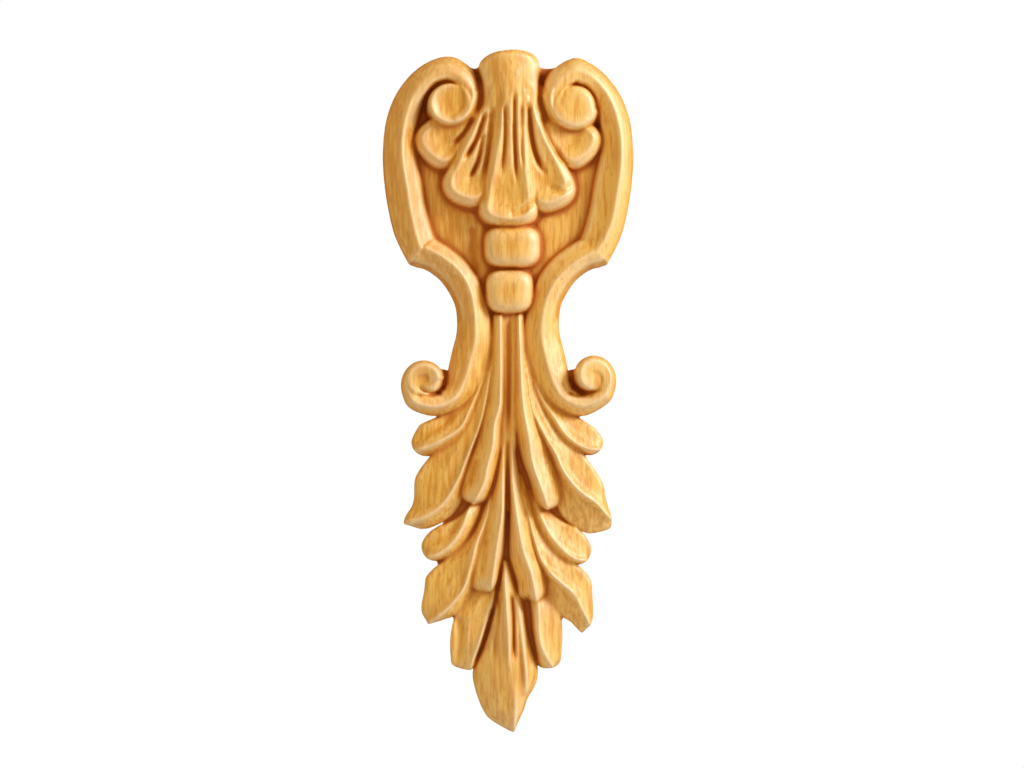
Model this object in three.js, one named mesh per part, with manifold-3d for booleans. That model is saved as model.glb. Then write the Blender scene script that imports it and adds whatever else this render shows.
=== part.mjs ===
import * as THREE from "three";
import Module from "manifold-3d";

const wasm = await Module();
wasm.setup();

// A carved wooden pilaster capital: one flat-backed block of wood with two pairs of scrolls, a shell,
// two beads and a spray of leaves. The back lies in the plane y = 0 and the carving faces -y.

// Overall sizes in millimetres.
const HEIGHT = 254;
const THICKNESS = 19;

// The carving is laid out on a pattern: x and z in hundredths of the overall height, measured from the
// middle of the back, and relief above the back in hundredths of the thickness.
const GRID = HEIGHT / 100;
const RELIEF = THICKNESS / 100;

// Softened edges, and how far the foot of a side stands out from its top, in millimetres.
const EDGE_ROUND = 1.0;
const SHELL_ROUND = 2.2;
const DRAFT = 0.5;

// Relief of the recessed ground behind the shell and between the leaves.
const PANEL_GROUND = 26;
const LEAF_GROUND = 22;

// The corner where the side moulding meets the lower scroll: both start on this mitre line, whose slope is
// in degrees from level.
const CORNER = [-12.7, 20.8, 2.6];
const CORNER_RELIEF = 60;
const MITRE_SLOPE = 46.5;
const MITRE_OVERLAP = 0.2;

// The eyes of the scrolls, left and right: x, z, half-width and half-height.
const UPPER_EYE = { left: [-8.5, 42.3, 3.0, 2.9], right: [-9.8, 41.7, 3.2, 3.2], edge: 70, top: 88 };
const LOWER_EYE = { left: [-12.3, 1.8, 2.2, 2.2], right: [-12.5, 2.5, 2.4, 2.3], edge: 63, top: 75 };

// Spines run from root to tip. A row is x, z, half-width to the right of travel and half-width to the left.
// Ridge is where the crest lies between the right edge (-1) and the left edge (1). Swell is how far a flank
// is rounded out, or hollowed where it is negative. Dip is how far the tip rolls down.
const OUTER_LEAF = { rounding: EDGE_ROUND, rightSwell: -0.4, leftSwell: 0.4, dip: [0.3, 1.5] };
const BROAD_LEAF = { rounding: EDGE_ROUND, rightSwell: -0.55, leftSwell: 0.3, dip: [0.2, 1.5] };
const INNER_LEAF = { rounding: EDGE_ROUND, rightSwell: 0.4, leftSwell: 0.2, dip: [0.12, 1.5] };

const LEAVES = [
  {
    ...INNER_LEAF,
    spine: [[-1.5, 11.5, 0.7, 0.7], [-1.7, 3, 1.2, 1.2], [-2.7, -6.5, 1.9, 1.6], [-5.5, -16.5, 2.1, 2]],
    drift: [0.6, -1],
    tip: [2, 3],
    ridge: [0.25, 0.25],
    crest: [50, 58, 67, 69],
    rightEdge: [37, 39, 45, 47],
    leftEdge: [29, 32, 34, 39],
  },
  {
    ...BROAD_LEAF,
    spine: [
      [-2.6, 8.1, 0.4, 0.6], [-4, -0.7, 1.2, 1.3], [-7.6, -9, 2.9, 2.3], [-10.9, -14.9, 3.4, 4.2],
      [-15.1, -19.8, 1.3, 3],
    ],
    tip: [2.4, 1.5],
    ridge: [0.5, 0.5, 0.5, 0.4, 0.2],
    crest: [45, 52, 59, 58, 53],
    rightEdge: [32, 32, 32, 33, 33],
    leftEdge: [29, 32, 34, 34, 34],
  },
  {
    ...OUTER_LEAF,
    spine: [[-3.2, 5.2, 0.4, 0.6], [-5.2, -0.8, 1.2, 1.2], [-8.7, -5.5, 2.1, 2.1], [-14, -8, 2.1, 2.1]],
    tip: [3.1, 2.2],
    ridge: [0.5, 0.5, 0.5, 0.2],
    crest: [42, 47, 55, 55],
    rightEdge: [34, 34, 37, 39],
    leftEdge: [29, 29, 32, 37],
  },
  {
    ...INNER_LEAF,
    spine: [[-0.7, -7.3, 0.4, 0.4], [-1, -14.6, 0.9, 0.7], [-2, -22, 1.6, 1.2], [-3.9, -29, 1.8, 1.8]],
    drift: [-0.4, -1.6],
    tip: [1.8, 3],
    ridge: [0.3, 0.3],
    crest: [50, 57, 63, 66],
    rightEdge: [32, 37, 42, 45],
    leftEdge: [29, 32, 34, 37],
  },
  {
    ...BROAD_LEAF,
    spine: [
      [-1.7, -11.7, 0.4, 0.6], [-3.6, -20.2, 1.2, 1.3], [-6.2, -25.8, 3.3, 2.2], [-8.4, -29.6, 4.5, 2.9],
      [-11.4, -34, 2.1, 2.6],
    ],
    drift: [-0.4, -0.9],
    tip: [2.4, 1.8],
    ridge: [0.5, 0.5, 0.5, 0.4, 0.2],
    crest: [39, 47, 54, 53, 47],
    rightEdge: [29, 29, 29, 30, 30],
    leftEdge: [26, 29, 32, 32, 32],
  },
  {
    ...OUTER_LEAF,
    spine: [[-3.5, -14.3, 0.4, 0.4], [-5.5, -18.6, 1.2, 1.2], [-8.4, -22, 2.1, 1.9], [-12.8, -23.3, 2, 2]],
    drift: [-0.9, -1],
    tip: [2.8, 2.2],
    ridge: [0.5, 0.5, 0.5, 0.2],
    crest: [37, 45, 50, 50],
    rightEdge: [29, 31, 33, 34],
    leftEdge: [26, 26, 29, 34],
  },
  {
    ...OUTER_LEAF,
    spine: [[-1.7, -26.7, 0.7, 0.6], [-3.6, -31.6, 2.1, 1.3], [-5.4, -36, 2.8, 1.5], [-6.5, -40.7, 1.8, 1.3]],
    drift: [-0.7, 0.3],
    tip: [0.8, 3],
    ridge: [0.5, 0.5],
    crest: [34, 45, 50, 46],
    rightEdge: [26, 27, 29, 29],
    leftEdge: [24, 26, 29, 32],
  },
];

const END_LEAF = {
  rounding: EDGE_ROUND,
  spine: [
    [-0.4, -24.2, 0.6, 0.6], [-0.2, -30.8, 1.8, 2.1], [-0.2, -36.6, 3.4, 3.4], [-0.2, -41.3, 5, 4.6],
    [-0.2, -45.4, 3.9, 3.1], [0.8, -50, 1.8, 1],
  ],
  tip: [3.1, 1.5],
  ridge: [0, 0],
  crest: [45, 55, 58, 58, 55, 45],
  rightEdge: [26, 26, 26, 29, 29, 32],
  leftEdge: [26, 26, 26, 29, 29, 32],
  rightSwell: -0.2,
  leftSwell: -0.2,
};

// The shell: two lobes a side that lie under the middle one, each hollowed inside a raised rim.
const LOBE = { rounding: SHELL_ROUND, ridge: [0, 0], rim: 0.75, hollow: 1.7, lip: 3.0, rightSwell: 0, leftSwell: 0 };
const SHELL_LOBES = [
  {
    ...LOBE,
    spine: [[-3.5, 44.1, 1.5, 1.5], [-7, 39.7, 2.9, 2.9], [-11.5, 34.6, 4.2, 3.8]],
    drift: [0.2, -0.6],
    tip: [3.5, 2.4],
    crest: [76, 68, 61],
  },
  {
    ...LOBE,
    spine: [[-1.8, 44.1, 1.5, 1.5], [-3.7, 36.8, 2.7, 2.8], [-6.2, 28.3, 3.6, 3.6]],
    drift: [0.4, -0.6],
    tip: [3.5, 2.4],
    crest: [82, 75, 67],
  },
];
const MIDDLE_LOBE = {
  ...LOBE,
  spine: [[0.2, 44.1, 1.8, 1.8], [0.5, 35.3, 2.7, 2.7], [0.5, 24.7, 3.8, 3.8]],
  tip: [3.2, 2.4],
  crest: [92, 82, 73],
};
const SHELL_CAP = {
  rounding: SHELL_ROUND,
  spine: [[0.5, 38.3, 2.2, 2.2], [0.4, 42.7, 3.1, 3.1], [0.1, 45.9, 4.3, 4.1], [-0.4, 50, 5.2, 4.6]],
  tip: [3.2, 2.2],
  ridge: [0, 0],
  crest: [79, 92, 100, 97],
  rightEdge: [63, 68, 74, 74],
  leftEdge: [63, 68, 74, 74],
  rightSwell: 0.6,
  leftSwell: 0.6,
};

// The two beads under the shell: x, z, half-width and half-height.
const BEAD_EDGE = 45;
const BEAD_SQUARENESS = 3.2;
const BEADS = [
  { at: [0.3, 21.2, 4.3, 3.2], top: 70 },
  { at: [0.1, 14.9, 3.6, 3.2], top: 67 },
];

// Grounds: outlines of the left half, closed along the middle.
const GROUNDS = [
  {
    relief: PANEL_GROUND,
    outline: [
      [-9.9, 47.6], [-12.1, 45.6], [-14, 41.2], [-14.3, 35.3], [-13.7, 28], [-12.3, 22.7], [-7.7, 19.5],
      [-4.6, 14.8], [-4, 10.4], [0, 8.9], [0, 47.6],
    ],
  },
  {
    relief: LEAF_GROUND,
    outline: [
      [-5.5, 13.3], [-5.8, 7.4], [-7.7, 1.5], [-9.9, -2], [-12.3, -4.3], [-12, -6.4], [-13, -9.3],
      [-12.1, -11.7], [-11.1, -16.1], [-9.9, -19], [-11.8, -20.8], [-11.7, -24.3], [-11.2, -26.4],
      [-10.8, -30.8], [-8.4, -33.1], [-7.6, -36], [-6.2, -39.6], [-4, -40.7], [0, -44], [0, 13.3],
    ],
  },
  {
    relief: LEAF_GROUND,
    outline: [[-14.3, 2.7], [-12.3, 3.9], [-9.2, 3.3], [-7, 2.7], [-7, -0.7], [-11.4, -1.7], [-14, -0.5]],
  },
];

// Rows of a spine that winds round an eye: angles in degrees, radii and half-widths on the pattern.
function winding({ eye, radius, width, start, sweep, radiusFall, widthFall, count }) {
  return Array.from({ length: count + 1 }, (_, i) => {
    const left = 1 - i / count;
    const angle = THREE.MathUtils.degToRad(start + (sweep * i) / count);
    const r = radius[1] + (radius[0] - radius[1]) * left ** radiusFall;
    const w = width[1] + (width[0] - width[1]) * left ** widthFall;
    return [eye[0] + r * Math.cos(angle), eye[1] + r * Math.sin(angle), w, w];
  });
}

const evenRow = ([x, z, width]) => [x, z, width, width];
const SIDE_ROWS = [
  CORNER, [-13.4, 22.1, 2.6], [-14.2, 24.2, 2.7], [-14.9, 27.1, 2.7], [-15.4, 30.2, 2.7],
  [-15.9, 33.8, 2.5], [-16, 36.8, 2.3], [-15.7, 39.6, 2.2], [-15, 42.2, 2], [-13.9, 44.3, 1.8],
  [-12.4, 46, 1.7], [-10.6, 47.1, 1.7],
].map(evenRow);
const WAIST_ROWS = [
  CORNER, [-11.4, 20.2, 2.3], [-9.9, 19.3, 2.25], [-8.2, 17.9, 2.3], [-6.7, 15.9, 2.3],
  [-5.7, 13.4, 2.2], [-5.4, 10.6, 2.1], [-5.7, 8, 2], [-6.3, 5.5, 2.1], [-7.1, 2.9, 1.95],
  [-7.9, 0.4, 1.6], [-9.2, -1.2, 1.5], [-11.2, -2, 1.45],
].map(evenRow);

const SIDE_MOULDING = {
  rounding: EDGE_ROUND,
  stations: 32,
  mitre: MITRE_SLOPE,
  spines: {
    left: [
      ...SIDE_ROWS,
      ...winding({
        eye: [-8.3, 42.4], radius: [5.1, 3.1], width: [1.75, 0.32],
        start: 94, sweep: -174, radiusFall: 2, widthFall: 1.3, count: 9,
      }),
    ],
    right: [
      ...SIDE_ROWS.slice(0, -1),
      [-10.9, 46.9, 1.75, 1.75],
      ...winding({
        eye: [-9.8, 41.9], radius: [5.3, 3.7], width: [1.8, 0.47],
        start: 90, sweep: -190, radiusFall: 2, widthFall: 1.3, count: 9,
      }),
    ],
  },
  ridge: [-0.1, -0.1, -0.1, -0.1, -0.2, -0.4, -0.3, 0, 0, 0],
  crest: [CORNER_RELIEF, 63, 66, 67, 68, 71, 76, 80, 82, 79, 76],
  rightEdge: [42, 42, 42, 42, 47, 55, 63, 71, 74, 74, 74],
  leftEdge: [34, 34, 34, 34, 37, 39, 45, 50, 55, 58, 58],
  rightSwell: 0,
  leftSwell: 0.7,
};

const LOWER_SCROLL = {
  rounding: EDGE_ROUND,
  stations: 31,
  mitre: MITRE_SLOPE,
  spines: {
    left: [
      ...WAIST_ROWS,
      ...winding({
        eye: [-12.3, 1.8], radius: [3.5, 2.45], width: [1.2, 0.4],
        start: -112, sweep: -245, radiusFall: 5, widthFall: 3.5, count: 10,
      }),
    ],
    right: [
      ...WAIST_ROWS,
      ...winding({
        eye: [-12.5, 2.6], radius: [3.6, 2.3], width: [1.2, 0.45],
        start: -112, sweep: -245, radiusFall: 5, widthFall: 3.5, count: 10,
      }),
    ],
  },
  ridge: [0.1, 0, 0, 0, 0, 0, 0, 0],
  crest: [CORNER_RELIEF, 59, 58, 58, 59, 62, 66, 68, 69, 69],
  rightEdge: [34, 34, 34, 36, 38, 41, 47, 55, 63, 66],
  leftEdge: [42, 40, 39, 38, 38, 39, 42, 47, 53, 53],
  rightSwell: 0.5,
  leftSwell: 0,
  fillet: { width: 0.28, drop: 1.2 },
};

// Smooth value through evenly spaced values, t from 0 to 1.
function blend(values, t) {
  const x = THREE.MathUtils.clamp(t, 0, 1) * (values.length - 1);
  const i = Math.min(Math.floor(x), values.length - 2);
  const [b, c] = [values[i], values[i + 1]];
  const a = i > 0 ? values[i - 1] : 2 * b - c;
  const d = i + 2 < values.length ? values[i + 2] : 2 * c - b;
  const f = x - i;
  const [rise, fall] = [(c - a) / 2, (d - b) / 2];
  return (2 * b - 2 * c + rise + fall) * f ** 3 + (3 * c - 3 * b - 2 * rise - fall) * f ** 2 + rise * f + b;
}

const swell = (x, amount) => x + amount * x * (1 - x);

// Relief in millimetres of a form at t along its spine and v across it.
function reliefAt(form, t, v, length) {
  const ridge = blend(form.ridge, t);
  const crest = blend(form.crest, t) * RELIEF;
  const edges = form.rim ? [form.crest, form.crest] : [form.rightEdge, form.leftEdge];
  let relief;
  if (v < ridge) {
    const foot = blend(edges[0], t) * RELIEF;
    relief = foot + (crest - foot) * swell((v + 1) / (ridge + 1), form.rightSwell);
  } else {
    const foot = blend(edges[1], t) * RELIEF;
    relief = foot + (crest - foot) * swell((1 - v) / (1 - ridge), form.leftSwell);
  }
  if (form.rim) {
    const across = THREE.MathUtils.clamp(1 - (v / form.rim) ** 2, 0, 1);
    const root = Math.min(t * 1.8, 1);
    const end = THREE.MathUtils.clamp(((1 - t) * length - form.lip) / form.lip, 0, 1);
    relief -= form.hollow * across * root * end;
  }
  if (form.fillet && v < form.fillet.width - 1) relief -= form.fillet.drop;
  if (form.dip) relief -= form.dip[1] * Math.max((t - 1 + form.dip[0]) / form.dip[0], 0) ** 2;
  return relief;
}

// Places across a form where its section is drawn, from right edge to left edge.
function sectionMarks(form, ridge, rightRound, leftRound) {
  const marks = [-1, rightRound - 1, 1 - leftRound, 1];
  if (form.rim) marks.push(-form.rim, -form.rim / 2, 0, form.rim / 2, form.rim);
  else marks.push((rightRound - 1 + ridge) / 2, ridge, (1 - leftRound + ridge) / 2);
  if (form.fillet) marks.push(form.fillet.width - 1.04, form.fillet.width - 0.96);
  return marks.sort((a, b) => a - b);
}

// Places along a form where its section is drawn, closer together where the tip closes.
function stationPlaces(form, length) {
  const count = form.stations ?? Math.max(5, Math.round(length / 9));
  const closing = form.tip ? (form.tip[0] * GRID) / length : 0;
  const places = Array.from({ length: count + 1 }, (_, i) => ((1 - closing) * i) / count);
  const tipPlaces = form.tip ? [0.5, 0.82, 0.99] : [];
  return [...places, ...tipPlaces.map((q) => 1 - closing + closing * q)];
}

// Closed solid under one carved form: a surface of sections over straight sides and a flat back.
function loft(form, rows, side) {
  const flip = side === "right" ? -1 : 1;
  const [dx, dz] = (side === "right" && form.drift) || [0, 0];
  const points = rows.map(([x, z], i) => {
    const share = (i / (rows.length - 1)) ** 1.5;
    return new THREE.Vector3((x - dx * share) * GRID, 0, (z + dz * share) * GRID);
  });
  const curve = new THREE.CatmullRomCurve3(points, false, "catmullrom", 0.5);
  curve.arcLengthDivisions = 400;
  const length = curve.getLength();
  const widths = [2, 3].map((column) => rows.map((row) => row[column] * GRID));
  const vertices = [];
  const places = stationPlaces(form, length);
  let across = 0;
  places.forEach((t, i) => {
    const u = curve.getUtoTmapping(t);
    const at = curve.getPoint(u);
    const along = curve.getTangent(u);
    const closing = form.tip ? Math.max((t - 1) * (length / (form.tip[0] * GRID)) + 1, 0) : 0;
    const close = form.tip ? (1 - closing ** form.tip[1]) ** (1 / form.tip[1]) : 1;
    const [right, left] = widths.map((w) => blend(w, u) * close);
    const rightRound = Math.min(form.rounding / right, 0.45);
    const leftRound = Math.min(form.rounding / left, 0.45);
    const ridge = THREE.MathUtils.clamp(blend(form.ridge, t) / close, -0.5, 0.5);
    const normal = new THREE.Vector3(-along.z, 0, along.x);
    const slope = THREE.MathUtils.degToRad(form.mitre ?? 0);
    const mitre = new THREE.Vector3(Math.cos(slope), 0, Math.sin(slope));
    const line = i === 0 && form.mitre ? mitre.divideScalar(mitre.dot(normal)) : normal;
    const overlap = i === 0 && form.mitre ? MITRE_OVERLAP : 0;
    const place = (offset, depth, ahead) => {
      const p = at.clone().addScaledVector(line, offset).addScaledVector(along, ahead - overlap);
      return [flip * p.x, -depth, p.z];
    };
    const marks = sectionMarks(form, ridge, rightRound, leftRound);
    const section = marks.map((v) => {
      const rounded = Math.abs(v) === 1 ? form.rounding : 0;
      return place(v * (v < 0 ? right : left), reliefAt(form, t, v * close, length) - rounded, 0);
    });
    const ahead = form.tip && i === places.length - 1 ? DRAFT : 0;
    across = section.length;
    vertices.push(...section, place(-right - DRAFT, 0, ahead), place(left + DRAFT, 0, ahead));
  });
  const triangles = [];
  const step = across + 2;
  const [rightFoot, leftFoot] = [across, across + 1];
  const quad = (a, b, c, d) => triangles.push([a, b, c], [a, c, d]);
  for (let i = 0; i + 1 < places.length; i += 1) {
    const [here, next] = [i * step, (i + 1) * step];
    for (let j = 0; j + 1 < across; j += 1) quad(here + j, next + j, next + j + 1, here + j + 1);
    quad(here + rightFoot, next + rightFoot, next, here);
    quad(here + across - 1, next + across - 1, next + leftFoot, here + leftFoot);
    quad(here + leftFoot, next + leftFoot, next + rightFoot, here + rightFoot);
  }
  const last = (places.length - 1) * step;
  for (let j = 0; j + 1 < across; j += 1) {
    triangles.push([rightFoot, j, j + 1], [last + rightFoot, last + j + 1, last + j]);
  }
  triangles.push([rightFoot, across - 1, leftFoot], [last + rightFoot, last + leftFoot, last + across - 1]);
  return solid(vertices, triangles, flip < 0);
}

// Closed solid of a boss: rings of a rounded footprint over a straight side and a flat back.
function boss({ at, edge, top, squareness, barrel }, side, segments) {
  const [x, z, halfWidth, halfHeight] = at.map((value) => value * GRID);
  const flip = side === "right" ? -1 : 1;
  const [low, high] = [edge * RELIEF, top * RELIEF];
  const ringShares = barrel ? [1, 0.84, 0.56, 0.28] : [1, 0.88, 0.66, 0.36];
  const corner = (angle, turn) => Math.sign(turn(angle)) * Math.abs(turn(angle)) ** (2 / squareness);
  const reliefOf = (share, px, pz) => {
    if (!barrel) return low + (high - low) * Math.sqrt(1 - share * share);
    const crown = high - (high - low) * 0.55 * Math.abs(px) ** 2.2 - 0.7 * Math.abs(pz) ** 3;
    return Math.min(crown, low + (1 - share) * Math.min(halfWidth, halfHeight) * 1.6);
  };
  const ring = (share, relief) =>
    Array.from({ length: segments }, (_, i) => {
      const angle = (2 * Math.PI * i) / segments;
      const [px, pz] = [share * corner(angle, Math.cos), share * corner(angle, Math.sin)];
      return [flip * (x + px * halfWidth), -(relief ?? reliefOf(share, px, pz)), z + pz * halfHeight];
    });
  const foot = 1 + DRAFT / Math.min(halfWidth, halfHeight);
  const vertices = [...ring(foot, 0), ...ringShares.flatMap((share) => ring(share)), [flip * x, -high, z], [flip * x, 0, z]];
  const [middle, back] = [vertices.length - 2, vertices.length - 1];
  const triangles = [];
  for (let i = 0; i < segments; i += 1) {
    const n = (i + 1) % segments;
    for (let k = 0; k < ringShares.length; k += 1) {
      const [outer, inner] = [k * segments, (k + 1) * segments];
      triangles.push([outer + i, outer + n, inner + n], [outer + i, inner + n, inner + i]);
    }
    const innermost = ringShares.length * segments;
    triangles.push([innermost + i, innermost + n, middle], [n, i, back]);
  }
  return solid(vertices, triangles, flip < 0);
}

// Closed solid of a flat ground; an outline that ends on the middle is completed by its mirror image.
function ground({ relief, outline }, side) {
  const flip = side === "right" ? -1 : 1;
  const whole = outline.at(-1)[0] === 0;
  const half = outline.map(([x, z]) => [flip * x * GRID, z * GRID]);
  const mirrored = outline.slice(0, -2).reverse().map(([x, z]) => [-flip * x * GRID, z * GRID]);
  const loop = whole ? [...half.slice(0, -1), ...mirrored] : half;
  const shape = new THREE.Shape(loop.map(([x, z]) => new THREE.Vector2(x, z)));
  const points = shape.extractPoints(1).shape;
  if (THREE.ShapeUtils.isClockWise(points)) points.reverse();
  const count = points.length;
  const vertices = [
    ...points.map((p) => [p.x, -relief * RELIEF, p.y]),
    ...points.map((p) => [p.x, 0, p.y]),
  ];
  const triangles = [];
  for (const [a, b, c] of THREE.ShapeUtils.triangulateShape(points, [])) {
    triangles.push([a, b, c], [count + a, count + c, count + b]);
  }
  for (let i = 0; i < count; i += 1) {
    const n = (i + 1) % count;
    triangles.push([i, count + i, count + n], [i, count + n, n]);
  }
  return solid(vertices, triangles, false);
}

// Solid for joining, from points and triangles; a mirrored form has its faces turned round.
function solid(vertices, triangles, turned) {
  const geometry = new THREE.BufferGeometry();
  geometry.setAttribute("position", new THREE.Float32BufferAttribute(vertices.flat(), 3));
  geometry.setIndex(triangles.flatMap(([a, b, c]) => (turned ? [a, c, b] : [a, b, c])));
  return new wasm.Manifold(
    new wasm.Mesh({
      numProp: 3,
      vertProperties: geometry.attributes.position.array,
      triVerts: new Uint32Array(geometry.index.array),
    }),
  );
}

function carving() {
  const pieces = [
    loft(MIDDLE_LOBE, MIDDLE_LOBE.spine, "left"),
    loft(SHELL_CAP, SHELL_CAP.spine, "left"),
    loft(END_LEAF, END_LEAF.spine, "left"),
    ...BEADS.map((bead) => boss({ ...bead, edge: BEAD_EDGE, squareness: BEAD_SQUARENESS, barrel: true }, "left", 20)),
  ];
  for (const side of ["left", "right"]) {
    pieces.push(
      ...GROUNDS.map((form) => ground(form, side)),
      ...[...LEAVES, ...SHELL_LOBES].map((form) => loft(form, form.spine, side)),
      ...[SIDE_MOULDING, LOWER_SCROLL].map((form) => loft(form, form.spines[side], side)),
      ...[UPPER_EYE, LOWER_EYE].map((eye) => boss({ ...eye, at: eye[side], squareness: 2 }, side, 16)),
    );
  }
  return pieces.reduce((joined, piece) => joined.add(piece));
}

function meshOf(joined, name, material) {
  const { numProp, vertProperties, triVerts } = joined.getMesh();
  const positions = new Float32Array((vertProperties.length / numProp) * 3);
  for (let i = 0; i * numProp < vertProperties.length; i += 1) {
    positions.set(vertProperties.subarray(i * numProp, i * numProp + 3), i * 3);
  }
  const geometry = new THREE.BufferGeometry();
  geometry.setAttribute("position", new THREE.BufferAttribute(positions, 3));
  geometry.setIndex(new THREE.BufferAttribute(triVerts, 1));
  geometry.computeVertexNormals();
  const mesh = new THREE.Mesh(geometry, material);
  mesh.name = name;
  return mesh;
}

const wood = new THREE.MeshStandardMaterial({ color: 0xd9a55c, roughness: 0.6, metalness: 0 });
const capital = new THREE.Group();
capital.name = "pilaster_capital";
capital.add(meshOf(carving(), "carved_capital", wood));

export default capital;
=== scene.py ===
"""Carved wooden pilaster capital: the fine carving over its frame, its wood finish and a plain studio."""

import math

import bpy
import numpy as np
from bpy.props import FloatProperty, FloatVectorProperty, IntProperty, PointerProperty
from bpy.types import Operator, Panel, PropertyGroup
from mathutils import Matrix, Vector, noise
from mathutils.geometry import tessellate_polygon


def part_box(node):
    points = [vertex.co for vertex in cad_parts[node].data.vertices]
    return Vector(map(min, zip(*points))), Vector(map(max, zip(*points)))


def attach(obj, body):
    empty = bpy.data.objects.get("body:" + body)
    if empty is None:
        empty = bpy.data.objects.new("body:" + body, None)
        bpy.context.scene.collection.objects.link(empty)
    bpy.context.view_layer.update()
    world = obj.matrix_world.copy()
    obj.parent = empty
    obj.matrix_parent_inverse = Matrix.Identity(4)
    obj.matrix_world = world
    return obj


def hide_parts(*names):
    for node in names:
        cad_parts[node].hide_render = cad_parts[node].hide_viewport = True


bl_info = {
    "name": "Carved Pilaster Capital",
    "version": (1, 0, 0),
    "blender": (4, 5, 0),
    "location": "3D View > Sidebar > Capital",
    "description": "Builds a carved wooden pilaster capital with its wood finish and a plain studio",
    "category": "Object",
}

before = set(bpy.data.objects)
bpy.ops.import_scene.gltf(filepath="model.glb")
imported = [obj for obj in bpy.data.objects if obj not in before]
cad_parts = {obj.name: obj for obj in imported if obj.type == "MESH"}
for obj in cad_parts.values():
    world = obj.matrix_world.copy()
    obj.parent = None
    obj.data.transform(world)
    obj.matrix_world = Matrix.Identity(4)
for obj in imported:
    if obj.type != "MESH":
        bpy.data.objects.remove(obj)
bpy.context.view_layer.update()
NODE = "carved_capital"
LOW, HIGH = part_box(NODE)
MM = 0.001

# The carving is laid out on a pattern: x and z in hundredths of the overall height, measured from the
# middle of the back, and relief above the back in hundredths of the depth. Other lengths are in
# millimetres. Spines run from root to tip. A row is x, z, half-width to the right of travel and
# half-width to the left. A crest is the highest line of a leaf; where a form has none, ridge is where it
# lies between the right edge (-1) and the left edge (1). Swell is how far a flank is rounded out, or
# hollowed where it is negative. Round is the edge's radius, or its bevel's width where drop gives the
# bevel's fall. Tip is how long the end's closing is and how square, and dip how long its roll is and how
# far it goes down. Rim, hollow and lip shape a lobe's face, and fillet fills the corner where forms meet.
# Left forms are mirrored to the right, with the changes listed under "right", drawn on the left too.
OUTER_LEAF = {"round": 0.9, "right_swell": -0.5, "left_swell": 0.4, "dip": (0.3, 1.2), "tip": (2.6, 2.2)}
BROAD_LEAF = {"round": 1.0, "right_swell": -0.3, "left_swell": -0.2, "dip": (0.2, 1.5), "tip": (1.6, 1.6)}
INNER_LEAF = {"round": 0.8, "right_swell": 0.5, "left_swell": 0.15, "dip": (0.12, 1.6), "tip": (2, 2.5)}

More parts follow.
